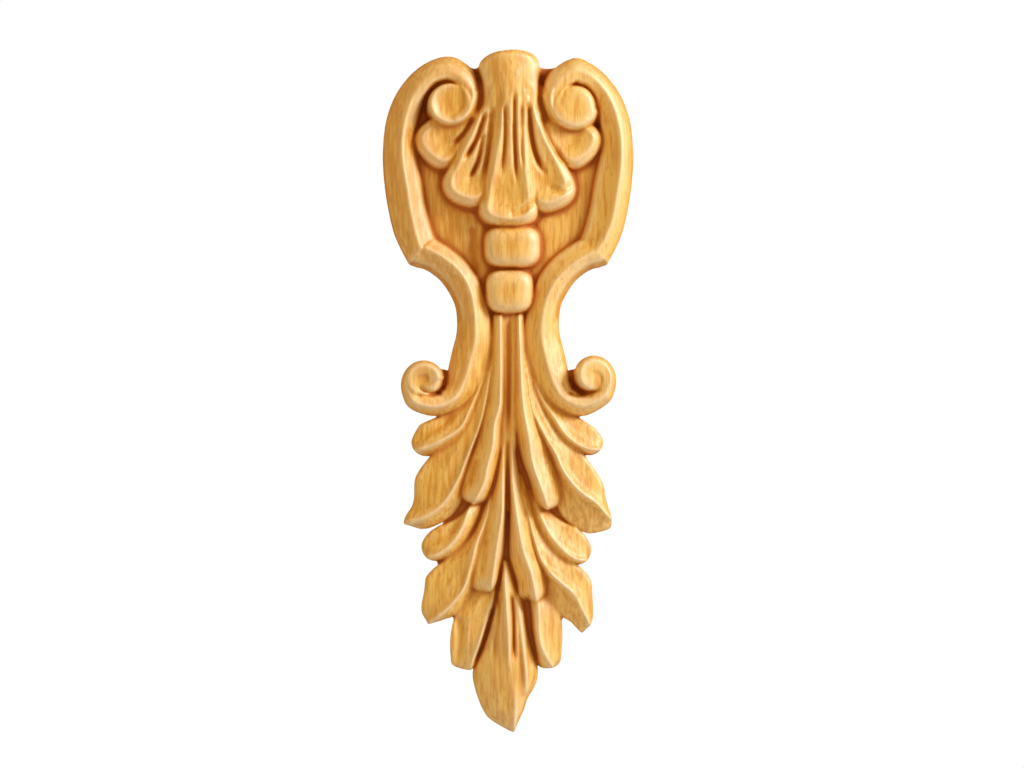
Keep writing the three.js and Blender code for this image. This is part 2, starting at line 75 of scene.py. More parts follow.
LEAVES = [
    {
        **INNER_LEAF,
        "spine": [
            (-1.4, 11.5, 0.8, 0.85), (-1.6, 3, 1.3, 1.15), (-2.7, -6.5, 1.9, 2), (-4, -11.5, 2.2, 2.5),
            (-5.5, -16.3, 1.9, 2.1),
        ],
        "crest_line": [
            (-1, 11.5), (-1, 5.9), (-1.1, -1.4), (-1.9, -4.6), (-2.2, -7.9), (-3, -11.1), (-3.5, -13.4),
            (-4.6, -15.6),
        ],
        "crest": (50, 58, 67, 69),
        "right_edge": (37, 36, 38, 42),
        "left_edge": (29, 29, 30, 34),
        "right": {
            "spine": [
                (-1.6, 11.5, 0.7, 0.7), (-1.8, 3, 1.2, 0.9), (-2.5, -3, 1.9, 1.9), (-3.9, -8.4, 2.4, 2.3),
                (-5.2, -12.4, 2.4, 2.2), (-6.1, -17.2, 1.8, 1.9),
            ],
            "crest_line": [
                (-1.5, 11.5), (-1.7, 5.9), (-2.1, -1.4), (-3, -6.8),
                (-3.6, -10.6), (-4.9, -14.3), (-6, -17.6),
            ],
        },
    },
    {
        **BROAD_LEAF,
        "spine": [
            (-2.6, 8.1, 0.4, 0.6), (-4, -0.7, 1.2, 1.3), (-7.6, -9, 2.9, 2.3), (-10.5, -14.3, 3.6, 4.1),
            (-13, -17.4, 1.4, 3.2), (-15.3, -19.3, 0.7, 0.9),
        ],
        "crest_line": [
            (-2.4, 4), (-3.5, -2), (-4.3, -5.3), (-5.2, -7.6), (-6.3, -10.4), (-7.4, -13), (-9.4, -16.2),
            (-12, -18.2), (-14.8, -19.2),
        ],
        "crest": (45, 52, 59, 58, 53),
        "right_edge": (32, 32, 34, 35, 35),
        "left_edge": (27, 28, 30, 31, 33),
        "right": {
            "spine": [
                (-2.6, 8.1, 0.4, 0.6), (-4, -0.7, 1.2, 1.3), (-7.6, -9, 2.9, 2.3), (-10.9, -14.9, 3.4, 4.2),
                (-13.2, -17.9, 1.9, 3.6), (-15, -20, 1, 1.8),
            ],
            "crest_line": [
                (-2.6, 4), (-3.6, -2.5), (-5.6, -6.8), (-6.9, -8.9), (-8.2, -11.7), (-10.3, -14.3),
                (-12.9, -16.3), (-14.4, -17.9),
            ],
            "right_edge": (32, 34, 40, 43, 42),
        },
    },
    {
        **OUTER_LEAF,
        "spine": [
            (-3.2, 5.2, 0.4, 0.6), (-5.2, -0.8, 1.2, 1.2), (-8.7, -5.5, 2.6, 2.1), (-11.8, -7.2, 2.7, 2.2),
            (-14.1, -7.9, 1.9, 1.9),
        ],
        "crest_line": [(-4.3, 0.5), (-5.6, -2.5), (-6.9, -5.1), (-9, -6.6), (-11.5, -7.8), (-13.4, -8.5)],
        "crest": (42, 47, 55, 55),
        "right_edge": (34, 34, 37, 41),
        "left_edge": (27, 27, 29, 33),
        "right": {
            "spine": [
                (-3.2, 5.2, 0.4, 0.6), (-5.2, -0.8, 1.2, 1.2), (-8.5, -5, 2.2, 2), (-11.6, -7.1, 2.2, 2.1),
                (-13.9, -7.8, 1.9, 1.9),
            ],
            "crest_line": [
                (-4, 1), (-5.2, -1.4), (-6.7, -3.6), (-8.2, -5.9),
                (-9.9, -7.4), (-11.8, -8.3), (-13.4, -8.4),
            ],
        },
    },
    {
        **INNER_LEAF,
        "spine": [
            (-0.5, -7.3, 0.4, 0.4), (-1.1, -13.4, 1, 1), (-2, -18.4, 1.3, 1.85), (-2.7, -22.5, 1.9, 2.25),
            (-3.4, -26, 2.1, 2.3), (-3.6, -29.4, 1.9, 1.9),
        ],
        "crest_line": [(-0.7, -8), (-0.7, -13.1), (-0.8, -17.5), (-1.2, -20.5), (-1.7, -23.4), (-2.3, -28)],
        "crest": (41, 55, 63, 66),
        "right_edge": (31, 33, 36, 40),
        "left_edge": (29, 29, 30, 34),
        "right": {
            "spine": [
                (-0.5, -7.3, 0.4, 0.4), (-1, -13.9, 0.9, 1), (-1.7, -18.5, 1.5, 1.75),
                (-2.5, -22.9, 1.9, 2.5), (-3.4, -27, 2.2, 2.4), (-3.7, -30.9, 1.8, 1.8),
            ],
            "crest_line": [
                (-0.5, -8), (-0.5, -12), (-0.7, -14.3), (-1.3, -18.6),
                (-2.1, -22.9), (-3.4, -26.8), (-4, -30),
            ],
        },
    },
    {
        **BROAD_LEAF,
        "spine": [
            (-1.7, -11.7, 0.4, 0.6), (-3.6, -20.2, 1.2, 1.3), (-6.2, -25.8, 3.3, 2.2),
            (-8.6, -29.8, 4.3, 2.9), (-10.7, -32.2, 2.4, 1.9), (-11.7, -34.1, 0.7, 0.5),
        ],
        "tip": (1.2, 1.5),
        "crest_line": [
            (-1.6, -12), (-2.2, -13.4), (-3.2, -18.2), (-4.6, -22.1), (-5.5, -25.7), (-6.6, -28.9),
            (-8.8, -31.6), (-11.2, -33.6),
        ],
        "crest": (29, 44, 54, 53, 47),
        "right_edge": (23, 28, 31, 32, 32),
        "left_edge": (22, 26, 28, 30, 31),
        "right": {
            "spine": [
                (-1.7, -11.7, 0.4, 0.6), (-3.8, -20.2, 1.2, 1.3), (-6.4, -26, 3.3, 2.2),
                (-8.5, -29.9, 4.3, 2.8), (-10.5, -33, 2.2, 1.6), (-10.9, -35.4, 0.6, 0.5),
            ],
            "crest_line": [
                (-1.4, -12), (-1.7, -13.9), (-2.6, -16.5), (-3.6, -20.8), (-4.9, -24.7), (-7, -27.3),
                (-9.6, -29.6), (-10.9, -32),
            ],
            "right_edge": (23, 30, 36, 38, 36),
        },
    },
    {
        **OUTER_LEAF,
        "spine": [
            (-3.5, -14.3, 0.4, 0.4), (-5.5, -18.6, 1.5, 1.2), (-8.4, -22, 2.9, 1.9), (-12.6, -23.4, 2.2, 2),
        ],
        "crest_line": [
            (-4.6, -15), (-5.7, -16.9), (-6.9, -20.1), (-8.6, -22.5), (-10.8, -24), (-12.4, -24.3),
        ],
        "crest": (29, 44, 50, 50),
        "right_edge": (23, 29, 32, 34),
        "left_edge": (22, 25, 27, 31),
        "right": {
            "spine": [
                (-3, -14, 0.4, 0.4), (-5, -18.8, 1.8, 1.3), (-8, -22.6, 3.5, 2.1), (-12.1, -23.9, 2.4, 1.9),
            ],
            "crest_line": [
                (-4, -15.5), (-4.5, -17.3), (-6, -20.6), (-8.1, -23.1), (-9.9, -24.4), (-11.6, -24.7),
            ],
        },
    },
    {
        **OUTER_LEAF,
        "spine": [
            (-1.7, -26.7, 0.7, 0.6), (-3.6, -31.6, 3.4, 1.4), (-5.5, -36, 3, 2), (-6.6, -40.7, 1.8, 1.4),
        ],
        "tip": (0.9, 3),
        "crest_line": [(-2, -29), (-2.6, -32), (-3.6, -34.9), (-4.7, -38.1), (-5.4, -40.3)],
        "crest": (34, 45, 50, 46),
        "right_edge": (28, 30, 33, 33),
        "left_edge": (24, 25, 26, 29),
        "right": {
            "spine": [
                (-1.7, -26.7, 0.7, 0.6), (-4.3, -31.2, 2.8, 1.4),
                (-5.4, -35, 2.6, 2.2), (-5.9, -40.6, 1.8, 1.6),
            ],
            "tip": (1.6, 2.6),
            "crest_line": [(-3.2, -28), (-4.4, -31), (-4.6, -35.6), (-5.1, -37.7), (-6, -39.4)],
        },
    },
]

END_LEAF = {
    "round": 1.0,
    "spine": [
        (-0.45, -24.6, 0.3, 0.3), (-0.2, -30.8, 1.8, 2.1), (-0.2, -36.6, 3.4, 3.4), (-0.2, -41.3, 5, 4.6),
        (-0.2, -45.4, 3.9, 3.1), (0.8, -49.9, 1.8, 1),
    ],
    "tip": (3.1, 1.5),
    "crest_line": [(-0.5, -25.6), (-0.1, -30.8), (0.1, -36.6), (0.3, -41.6), (0.9, -45), (1, -49.4)],
    "crest": (38, 53, 57, 56, 53, 44),
    "right_edge": (26, 26, 26, 29, 29, 32),
    "left_edge": (26, 26, 26, 29, 29, 32),
    "right_swell": 0.85,
    "left_swell": 0.85,
}

# The shell's lobes have a wide bevel round a face that is a little hollow.
SHELL_LOBE = {
    "round": 2.5, "drop": 2.3, "ridge": (0, 0), "rim": 0.9, "hollow": 1.8, "lip": 2.0, "right_swell": 0,
    "left_swell": 0, "tip": (3.5, 2.3),
}
SHELL_LOBES = [
    {
        **SHELL_LOBE,
        "spine": [
            (-0.9, 47, 1.5, 1.5), (-3.5, 43.6, 1.8, 1.8), (-7, 39.7, 2.9, 2.9), (-11.9, 34.1, 4.3, 3.9),
        ],
        "crest": (80, 76, 68, 61),
    },
    {
        **SHELL_LOBE,
        "spine": [
            (-0.9, 47.5, 1.4, 1.4), (-1.8, 43.6, 1.6, 1.6), (-3.7, 36.8, 2.7, 2.8),
            (-6.7, 27.7, 3.9, 3.7),
        ],
        "crest": (85, 82, 75, 67),
        "right": {
            "spine": [
                (-0.9, 47.5, 1.4, 1.4), (-1.8, 43.6, 1.6, 1.6),
                (-3.9, 36.6, 2.7, 2.8), (-7, 27, 3.8, 3.7),
            ],
        },
    },
]
MIDDLE_LOBE = {
    **SHELL_LOBE,
    "spine": [(0.2, 47.5, 1.8, 1.8), (0.4, 42, 2, 2), (0.4, 35.3, 2.9, 2.8), (0.1, 24.4, 4.7, 4.5)],
    "crest": (93, 90, 82, 74),
}
SHELL_CAP = {
    "round": 2.2,
    "spine": [(0.5, 39, 3.2, 3.2), (0.4, 42.7, 3.9, 3.9), (0.1, 45.9, 4.4, 4.2), (-0.3, 49.94, 5.2, 4.7)],
    "tip": (3.2, 2.3),
    "ridge": (0, 0),
    "crest": (80, 91, 99, 97),
    "right_edge": (62, 70, 74, 72),
    "left_edge": (62, 70, 74, 72),
    "right_swell": 1,
    "left_swell": 1,
    "fillet": 3.0,
}

# The scrolls' eyes: x, z, half-width, half-height, relief at the edge and at the top, how far the middle is
# dished and how far the left side stands above the middle, both in millimetres.
EYES = [
    (-8.4, 42.2, 3.1, 3.0, 77, 81, 0.9, 0),
    (9.8, 41.7, 3.2, 3.2, 72, 85, 0, 0.5),
    (-12.4, 1.9, 2.5, 2.4, 64, 71, 0.4, 0),
    (12.6, 2.6, 2.4, 2.4, 62, 73, 0, 1.9),
]
EYE_FILLET = 2.4
EYE_FLATNESS = 3
DISH_REACH = 0.85
EDGE_ROUND = 0.7

# The beads: x, z, half-width, half-height and relief at the top.
BEAD_EDGE = 45
BEAD_SQUARENESS = 3.0
BEAD_FLATNESS, BEAD_SHOULDER = 3, 0.6
BEADS = [(0.6, 21.4, 4.0, 3.15, 70), (0.2, 14.8, 3.45, 3.2, 67)]

# Cuts made with a small gouge after the rest: a line, then its half-width and its depth at its start and at
# its end, in millimetres. A rib has a negative depth. A cut fades in and out over a share of its length.
CUT_ROUNDNESS = 1.5
CUT_ENTRY, CUT_EXIT = 0.15, 0.3
CUTS = [
    ([(-12.3, 40.9), (-12, 43.2), (-10.8, 45), (-8.6, 45.9)], 1.0, 3.0, 0.5),
    ([(-5.2, 45), (-5.1, 42.7), (-5.7, 40.9), (-7.3, 39.6)], 0.9, -0.8, -0.5),
    ([(13, 40.9), (12.6, 43.1), (11.5, 44.7), (9.8, 45.4)], 1.0, 3.0, 0.5),
    ([(6.7, 44.7), (6.2, 43), (6.7, 40.7), (8.1, 39)], 0.9, -0.8, -0.5),
    ([(-9.5, -0.2), (-11.1, -0.1), (-12.7, 0.5), (-12.7, 1.5)], 1.1, 2.6, 0.6),
    ([(8.7, 0.1), (10.2, -0.5), (12.1, -0.5), (13.1, 0.2)], 1.1, 2.6, 0.6),
    ([(-4.9, 47.9), (-4.2, 45.9), (-3.9, 43.8), (-4.2, 41.8), (-5.1, 40.3)], 1.8, 4.0, 2.0),
    ([(4.6, 47.6), (4.7, 45), (4.8, 42.4), (5.6, 40.2), (6.9, 38.5)], 1.8, 4.0, 2.2),
    ([(-0.4, 42.4), (-0.4, 37.5), (-0.7, 33.8), (-1.1, 31)], 1.1, 1.9, 1.6),
    ([(1, 44.4), (1, 37.5), (1.2, 33.1), (1.4, 29.9)], 1.1, 1.8, 2.4),
    ([(3, 42.8), (3.5, 37.5), (4.3, 34.3), (5.7, 31.4)], 1.6, 2.6, 2.8),
    ([(2, 42.5), (2, 36.8), (2.3, 32.1)], 0.9, 1.5, 1.5),
    ([(-3.2, 41.2), (-4.6, 37.1), (-6.6, 33.6)], 1.5, 2.0, 3.4),
    ([(-3.5, 38.2), (-4.3, 34.1), (-5.9, 30.8)], 1.4, 1.6, 3.2),
    ([(-2.2, 42), (-2.9, 35.3), (-3.8, 30.4)], 1.7, 1.2, 2.4),
    ([(-4.9, 40.4), (-6.4, 38), (-8.4, 35.9)], 1.4, 1.8, 2.0),
    ([(4.8, 41), (6.2, 36.8), (8.6, 33)], 1.6, 1.6, 1.9),
    ([(0.2, 12.4), (0.2, 4.5), (0.1, -2.9), (0, -8.3)], 1.3, 0.8, 1.8),
    ([(0, -6.3), (0, -13.1), (-0.1, -18)], 1.1, 1.3, 1.6),
    ([(0, -14), (-0.1, -19), (-0.2, -25.8)], 1.2, 0.4, 3.6),
    ([(-4.9, 25), (-5, 21), (-4.3, 16.5)], 2.6, 0.9, 1.3),
    ([(0, 25.9), (2.2, 26.5), (4.2, 28.4)], 2.2, 0.4, 1.5),
    ([(5.6, 30.2), (8, 29.4), (9.9, 31.2)], 2.2, 0.5, 1.4),
    ([(-0.6, -26), (-0.3, -31), (0.1, -37), (0.1, -42)], 1.1, -1.4, -0.7),
    ([(0.5, -29), (0.8, -33.5), (0.9, -40)], 1.1, 2.6, 2.2),
    ([(-2.1, -31), (-3.6, -36.5), (-5.4, -41)], 1.6, 2.0, 2.0),
    ([(2.7, -29), (3.6, -35.5), (4.4, -41)], 1.6, 2.0, 2.0),
    ([(1.5, -27.5), (2, -33.7), (2.4, -38.1), (2.7, -42), (2.7, -46.5)], 1.6, -1.8, -1.3),
    ([(-1.3, -29.5), (-1.6, -35.2), (-2.4, -40)], 1.1, 1.3, 0.9),
    ([(5.6, -6.8), (6.9, -8.9), (8.2, -11.7), (10.3, -14.3), (12.9, -16), (14.2, -17.1)], 2.4, -1.0, -1.3),
    ([(5.3, -25.8), (7.9, -27.9), (10.6, -30.2)], 2.4, -0.9, -1.3),
    ([(-12.4, -22.4), (-10.4, -22.1), (-8.7, -20.9), (-7.2, -18.6)], 2.4, 0.1, 1.0),
    ([(-14.2, -6.9), (-12, -6.4), (-9.8, -5), (-7.6, -3)], 2.6, 0.1, 1.0),
    ([(-7.2, -32.5), (-7, -36.5), (-7.2, -40.5)], 3.0, 0.7, 0.7),
    ([(-4.4, -9.5), (-5.2, -12), (-5.9, -14.4)], 2.2, 0.9, 1.0),
    ([(-3, -21), (-3.6, -25), (-3.9, -28)], 2.0, 0.7, 0.8),
]

# Flat recessed grounds: relief and the outline of the left half, closed along the middle. The first three
# lie behind everything, and the last is the floor of the channel between the stems.
GROUNDS = [
    (26, [
        (-9.9, 47.6), (-12.1, 45.6), (-14, 41.2), (-14.3, 35.3), (-13.7, 28), (-12.3, 22.7), (-7.7, 19.5),
        (-4.6, 14.8), (-4, 10.4), (0, 8.9), (0, 47.6),
    ]),
    (22, [
        (-5.5, 13.3), (-5.8, 7.4), (-7.7, 1.5), (-9.9, -2), (-10.6, -4), (-10.6, -6.4), (-11.4, -9.3),
        (-11.3, -11.7), (-10.6, -16.1), (-9.4, -19), (-10.8, -21.2), (-10.8, -24), (-9.9, -26.4),
        (-10.2, -30.4), (-8.2, -32.8), (-7, -36), (-6.2, -39.4), (-4, -40.4), (0, -44), (0, 13.3),
    ]),
    (22, [(-14.3, 2.7), (-12.3, 3.9), (-9.2, 3.3), (-7, 2.7), (-7, -0.7), (-11.4, -1.7), (-14, -0.5)]),
    (39, [(-1.1, 12.4), (-1.1, -7), (-0.5, -14), (-0.05, -17.5), (0, -17.5), (0, 12.4)]),
]


def winding(eye, radius, width, start, sweep, fall, count, inner=0.0):
    """Rows of a spine that winds round an eye and widens towards it; angles in degrees."""
    rows = []
    for i in range(count + 1):
        left = 1 - i / count
        angle = math.radians(start + sweep * i / count)
        r = radius[1] + (radius[0] - radius[1]) * left ** fall[0]
        w = width[1] + (width[0] - width[1]) * left ** fall[1]
        overlap = inner * min(2 * i / count, 1)
        rows.append((eye[0] + r * math.cos(angle), eye[1] + r * math.sin(angle), w + overlap, w))
    return rows


def even_rows(rows):
    """Rows with the same half-width on both sides."""
    return [(x, z, w, w) for x, z, w in rows]


# The corner that both mouldings leave, the slope of its mitre in degrees, and the step along a lower
# moulding: its width as a share of the half-width, its depth and how far along it ends.
CORNER = (-12.7, 20.8, 2.6)
MITRE_SLOPE = 46.5
STEP = (0.3, 1.5, 0.34)
SIDE_ROWS = even_rows([
    CORNER, (-13.4, 22.1, 2.6), (-14.2, 24.2, 2.7), (-14.9, 27.1, 2.7), (-15.4, 30.2, 2.7),
    (-15.9, 33.8, 2.5), (-16, 36.8, 2.3), (-15.7, 39.6, 2.2), (-15, 42.2, 2), (-13.9, 44.3, 1.8),
    (-12.4, 46, 1.7), (-10.6, 47.1, 1.7),
])
WAIST_ROWS = even_rows([
    CORNER, (-11.4, 20.2, 2.3), (-9.9, 19.3, 2.25), (-8.2, 17.9, 2.3), (-6.7, 15.9, 2.35),
    (-5.6, 13.4, 2.3), (-5, 10.6, 2.5), (-4.9, 8, 2.75), (-5.4, 5.5, 2.85), (-6.1, 2.9, 2.75),
    (-7, 0.6, 2.2), (-8.4, -1.1, 1.8), (-10.9, -2, 1.5),
])
SCROLLS = [
    {
        "round": 1.2,
        "mitre": True,
        "spine": SIDE_ROWS + winding((-8.3, 42.4), (5.1, 3.1), (1.75, 0.32), 94, -174, (2, 1.3), 9, 0.8),
        "ridge": (-0.05, -0.2, -0.24, -0.24, -0.28, -0.35, -0.35, -0.3, -0.4, -0.4, -0.4),
        "crest": (60, 63, 66, 67, 68, 71, 76, 80, 82, 79, 76),
        "right_edge": (42, 42, 42, 42, 45, 56, 74, 80, 80, 78, 75),
        "left_edge": (34, 34, 34, 34, 37, 39, 45, 50, 55, 58, 58),
        "right_swell": 0,
        "left_swell": 0.7,
        "fillet": 0.9,
        "right": {
            "spine": SIDE_ROWS[:-1] + [(-10.9, 46.9, 1.75, 1.75)]
            + winding((-9.8, 41.9), (5.3, 2.9), (1.8, 0.3), 90, -225, (2.2, 1.3), 10, 0.8),
            "ridge": (0.1, 0.26, 0.26, 0.26, 0.2, 0.1, 0, -0.2, -0.3, -0.3, -0.3),
        },
    },
    {
        "round": 1.2,
        "mitre": True,
        "spine": WAIST_ROWS + winding((-12.3, 1.8), (3.5, 2.45), (1.2, 0.4), -112, -245, (5, 3.5), 10, 1.3),
        "ridge": (0.25, 0.3, 0.3, 0.1, 0.05, 0.05, 0.1, 0.1, 0, 0, 0),
        "crest": (60, 59, 58, 58, 60, 62, 66, 68, 69, 69),
        "right_edge": (34, 34, 34, 36, 38, 44, 60, 68, 69, 69),
        "left_edge": (42, 40, 39, 38, 38, 39, 42, 47, 53, 53),
        "right_swell": 0.5,
        "left_swell": 0.1,
        "step": STEP,
        "fillet": 0.9,
        "right": {
            "spine": WAIST_ROWS
            + winding((-12.5, 2.6), (3.6, 2.3), (1.2, 0.45), -112, -245, (5, 3.5), 10, 1.3),
            "ridge": (-0.1, -0.1, 0, 0, 0, 0, 0, 0, 0, 0, 0),
        },
    },
]

# How steeply the cut sides fall, as a rise over run, and how far beyond an outline distances are kept.
WALL_SLOPE = 4.0
MARGIN = 3.0
# Half the grid's width, as a share of the carving's height.
GRID_HALF_WIDTH = 0.21
# Points between two rows of a crest line or a cut, and of a spine. Then a spine's spacing, its least number
# of points, the points round its tip and the longest tip as a share of its length.
LINE_SAMPLES, SPINE_SAMPLES = 10, 24
SAMPLE_STEP, LEAST_SAMPLES, TIP_SAMPLES, LONGEST_TIP = 0.9, 16, 14, 0.9
# A ridge keeps away from the edges, and a form's half-width isn't taken as less than this.
RIDGE_LIMIT = 0.8
LEAST_HALF_WIDTH = 0.3
# A shell lobe's hollow starts and deepens with the place along it, and ends in a lip that rises slowly.
HOLLOW_START, HOLLOW_GROWTH = 0.3, 1.6
LIP_RISE = 9.0
# How wide a step's rise is across the spine, as a share of the half-width, and along it.
STEP_ACROSS, STEP_ALONG = 0.08, 0.05
# An edge with a smaller squared length is left out, and a tiny length keeps a division from failing.
SHORTEST, TINY = 1e-9, 1e-6

# The finished face: rows carried past the outline, how much the relief is emphasised and over what radius,
# the least relief, the least share of wood that an average is taken over, and the width and length of the
# broad and the fine tool marks.
CARRIED_ROWS = 6
EMPHASIS, EMPHASIS_RADIUS = 0.45, 2.4
LEAST_RELIEF = 13
LEAST_SHARE = 0.05
BROAD_MARKS, FINE_MARKS, FINE_STRENGTH, FINE_SHIFT = (4, 7), (1.6, 3), 0.5, 5

# Radii of the surroundings that the painted shade and the pale raised parts are judged by, the depths and
# heights that count as full and their weights.
WIDE_RADIUS, CLOSE_RADIUS, EDGE_RADIUS = 2.4, 1.3, 0.9
WIDE_DEPTH, CLOSE_DEPTH, EDGE_HEIGHT, WEAR_AND_HIGHLIGHT_HEIGHT = 2.2, 1.3, 0.45, 1.6
WIDE_WEIGHT, CLOSE_WEIGHT, WEAR_AND_HIGHLIGHT_WEIGHT, EDGE_WEIGHT = 0.42, 0.65, 0.6, 0.4
# How far outside the outline heights still count for the painted shade and the pale raised parts.
PAINTED_LIGHT_EDGE = 1.0
# Painted shade on the cut sides at the face, and how much more there is at the back.
SIDE_PAINTED_SHADE, SIDE_PAINTED_SHADE_GAIN = 0.25, 0.15
# The nearest that a vertex on the outline comes to a corner of the grid, as a share of its spacing.
CLOSEST = 0.06

# The grain: cells to the metre along x, y and z, the streaks' cells as a share of the flecks' own, then how
# the noises are weighed and stretched, and what they add to the dullness and the relief.
BROAD_CELLS, SAW_CELLS = (30, 30, 5), (3, 3, 900)
STREAK_ACROSS, STREAK_ALONG = 0.55, 0.35
BROAD_WEIGHT, STREAK_WEIGHT, TONE_CONTRAST, TONE_SHIFT = 0.7, 1.3, 3.6, 3.05
FLECK_DETAIL, FLECK_LEVEL, FLECK_CONTRAST = 0.6, 0.6, 7
SAWN_FACING, SAWN_CONTRAST = 0.9, 20
DULL_FLECK, DULL_RECESS, DULL_BACK = 0.12, 0.2, 0.2
FLECK_RELIEF, STREAK_RELIEF, SAW_RELIEF, BUMP_STRENGTH = -0.5, 0.6, 2.0, 0.5

# The stage: the main light's angles in degrees and its size, how far the camera sees, in metres, and the
# floor.
KEY_AZIMUTH, KEY_ELEVATION, KEY_SIZE = 60, 27, 0.35
CAMERA_REACH = 20
FLOOR_SIDES, FLOOR_ROUGHNESS = 96, 0.9
WHITE = (1.0, 1.0, 1.0)


def blend(values, t):
    """Smooth value through evenly spaced values, t from 0 to 1."""
    v = np.asarray(values, float)
    v = np.concatenate([[2 * v[0] - v[1]], v, [2 * v[-1] - v[-2]]])
    x = np.clip(t, 0, 1) * (len(v) - 3)
    i = np.minimum(x.astype(int), len(v) - 4)
    f = x - i
    a, b, c, d = v[i], v[i + 1], v[i + 2], v[i + 3]
    rise, fall = (c - a) / 2, (d - b) / 2
    cubic = (2 * b - 2 * c + rise + fall) * f**3
    return cubic + (3 * c - 3 * b - 2 * rise - fall) * f**2 + rise * f + b


def swelled(x, amount):
    """A straight rise from 0 to 1, rounded out or hollowed."""
    return x + amount * x * (1 - x)


def soft_step(x):
    """0 below 0, 1 above 1, and smooth between."""
    x = np.clip(x, 0, 1)
    return x * x * (3 - 2 * x)


def polygon_distance(x, z, corners, open_end=False):
    """Distance from each point to a closed outline, positive inside; an open end's edge isn't counted."""
    nearest = np.full(x.shape, np.inf)
    inside = np.zeros(x.shape, bool)
    for k, ((x0, z0), (x1, z1)) in enumerate(zip(corners, np.roll(corners, -1, axis=0))):
        dx, dz = x1 - x0, z1 - z0
        squared = dx * dx + dz * dz
        if squared < SHORTEST:
            continue
        if not (open_end and k == len(corners) - 1):
            share = np.clip(((x - x0) * dx + (z - z0) * dz) / squared, 0, 1)
            nearest = np.minimum(nearest, np.hypot(x - x0 - share * dx, z - z0 - share * dz))
        if z1 != z0:
            crossed = (z0 > z) != (z1 > z)
            inside ^= crossed & (x < (x1 - x0) * (z - z0) / (z1 - z0) + x0)
    return np.where(inside, nearest, -nearest)


def along_and_across(x, z, line, places, widths=None):
    """Place along a line, and the distance from it, positive to the left of travel.

    Where a broad and a narrow stretch of the line both pass a point, its depth in each decides.
    """
    best = np.full(x.shape, np.inf)
    along, across = np.zeros(x.shape), np.zeros(x.shape)
    count = len(line) - 1
    for i in range(count):
        (x0, z0), (x1, z1) = line[i], line[i + 1]
        dx, dz = x1 - x0, z1 - z0
        reach = ((x - x0) * dx + (z - z0) * dz) / (dx * dx + dz * dz)
        share = np.clip(reach, 0, 1)
        distance = np.hypot(x - x0 - share * dx, z - z0 - share * dz)
        free = np.clip(reach, 0 if i else -np.inf, 1 if i < count - 1 else np.inf)
        sideways = np.hypot(x - x0 - free * dx, z - z0 - free * dz)
        depth = distance if widths is None else distance - widths[i]
        closer = depth < best
        best[closer] = depth[closer]
        along[closer] = places[i] + (places[i + 1] - places[i]) * share[closer]
        side = np.sign(dx * (z - z0) - dz * (x - x0))
        across[closer] = (side * sideways)[closer]
    return along, across


def smooth_line(points):
    """A smooth curve through points, and how far along it each of its own points lies, from 0 to 1."""
    fine = np.linspace(0, 1, LINE_SAMPLES * (len(points) - 1) + 1)
    line = np.stack([blend(points[:, 0], fine), blend(points[:, 1], fine)], 1)
    places = np.concatenate([[0], np.cumsum(np.hypot(*np.diff(line, axis=0).T))])
    return line, places / places[-1]


def blurred(field, radius, step):
    """A field softened by a bell of that radius."""
    reach = max(1, int(math.ceil(3 * radius / step)))
    bell = np.exp(-((np.arange(-reach, reach + 1) * step) ** 2) / (2 * radius * radius))
    bell /= bell.sum()
    padded = np.pad(field, reach, mode="edge")
    rows = sum(weight * padded[k : k + field.shape[0]] for k, weight in enumerate(bell))
    return sum(weight * rows[:, k : k + field.shape[1]] for k, weight in enumerate(bell))


def side_form(form, side):
    """The form with the changes that its right-hand copy has."""
    return {**form, **form.get("right", {})} if side < 0 else form


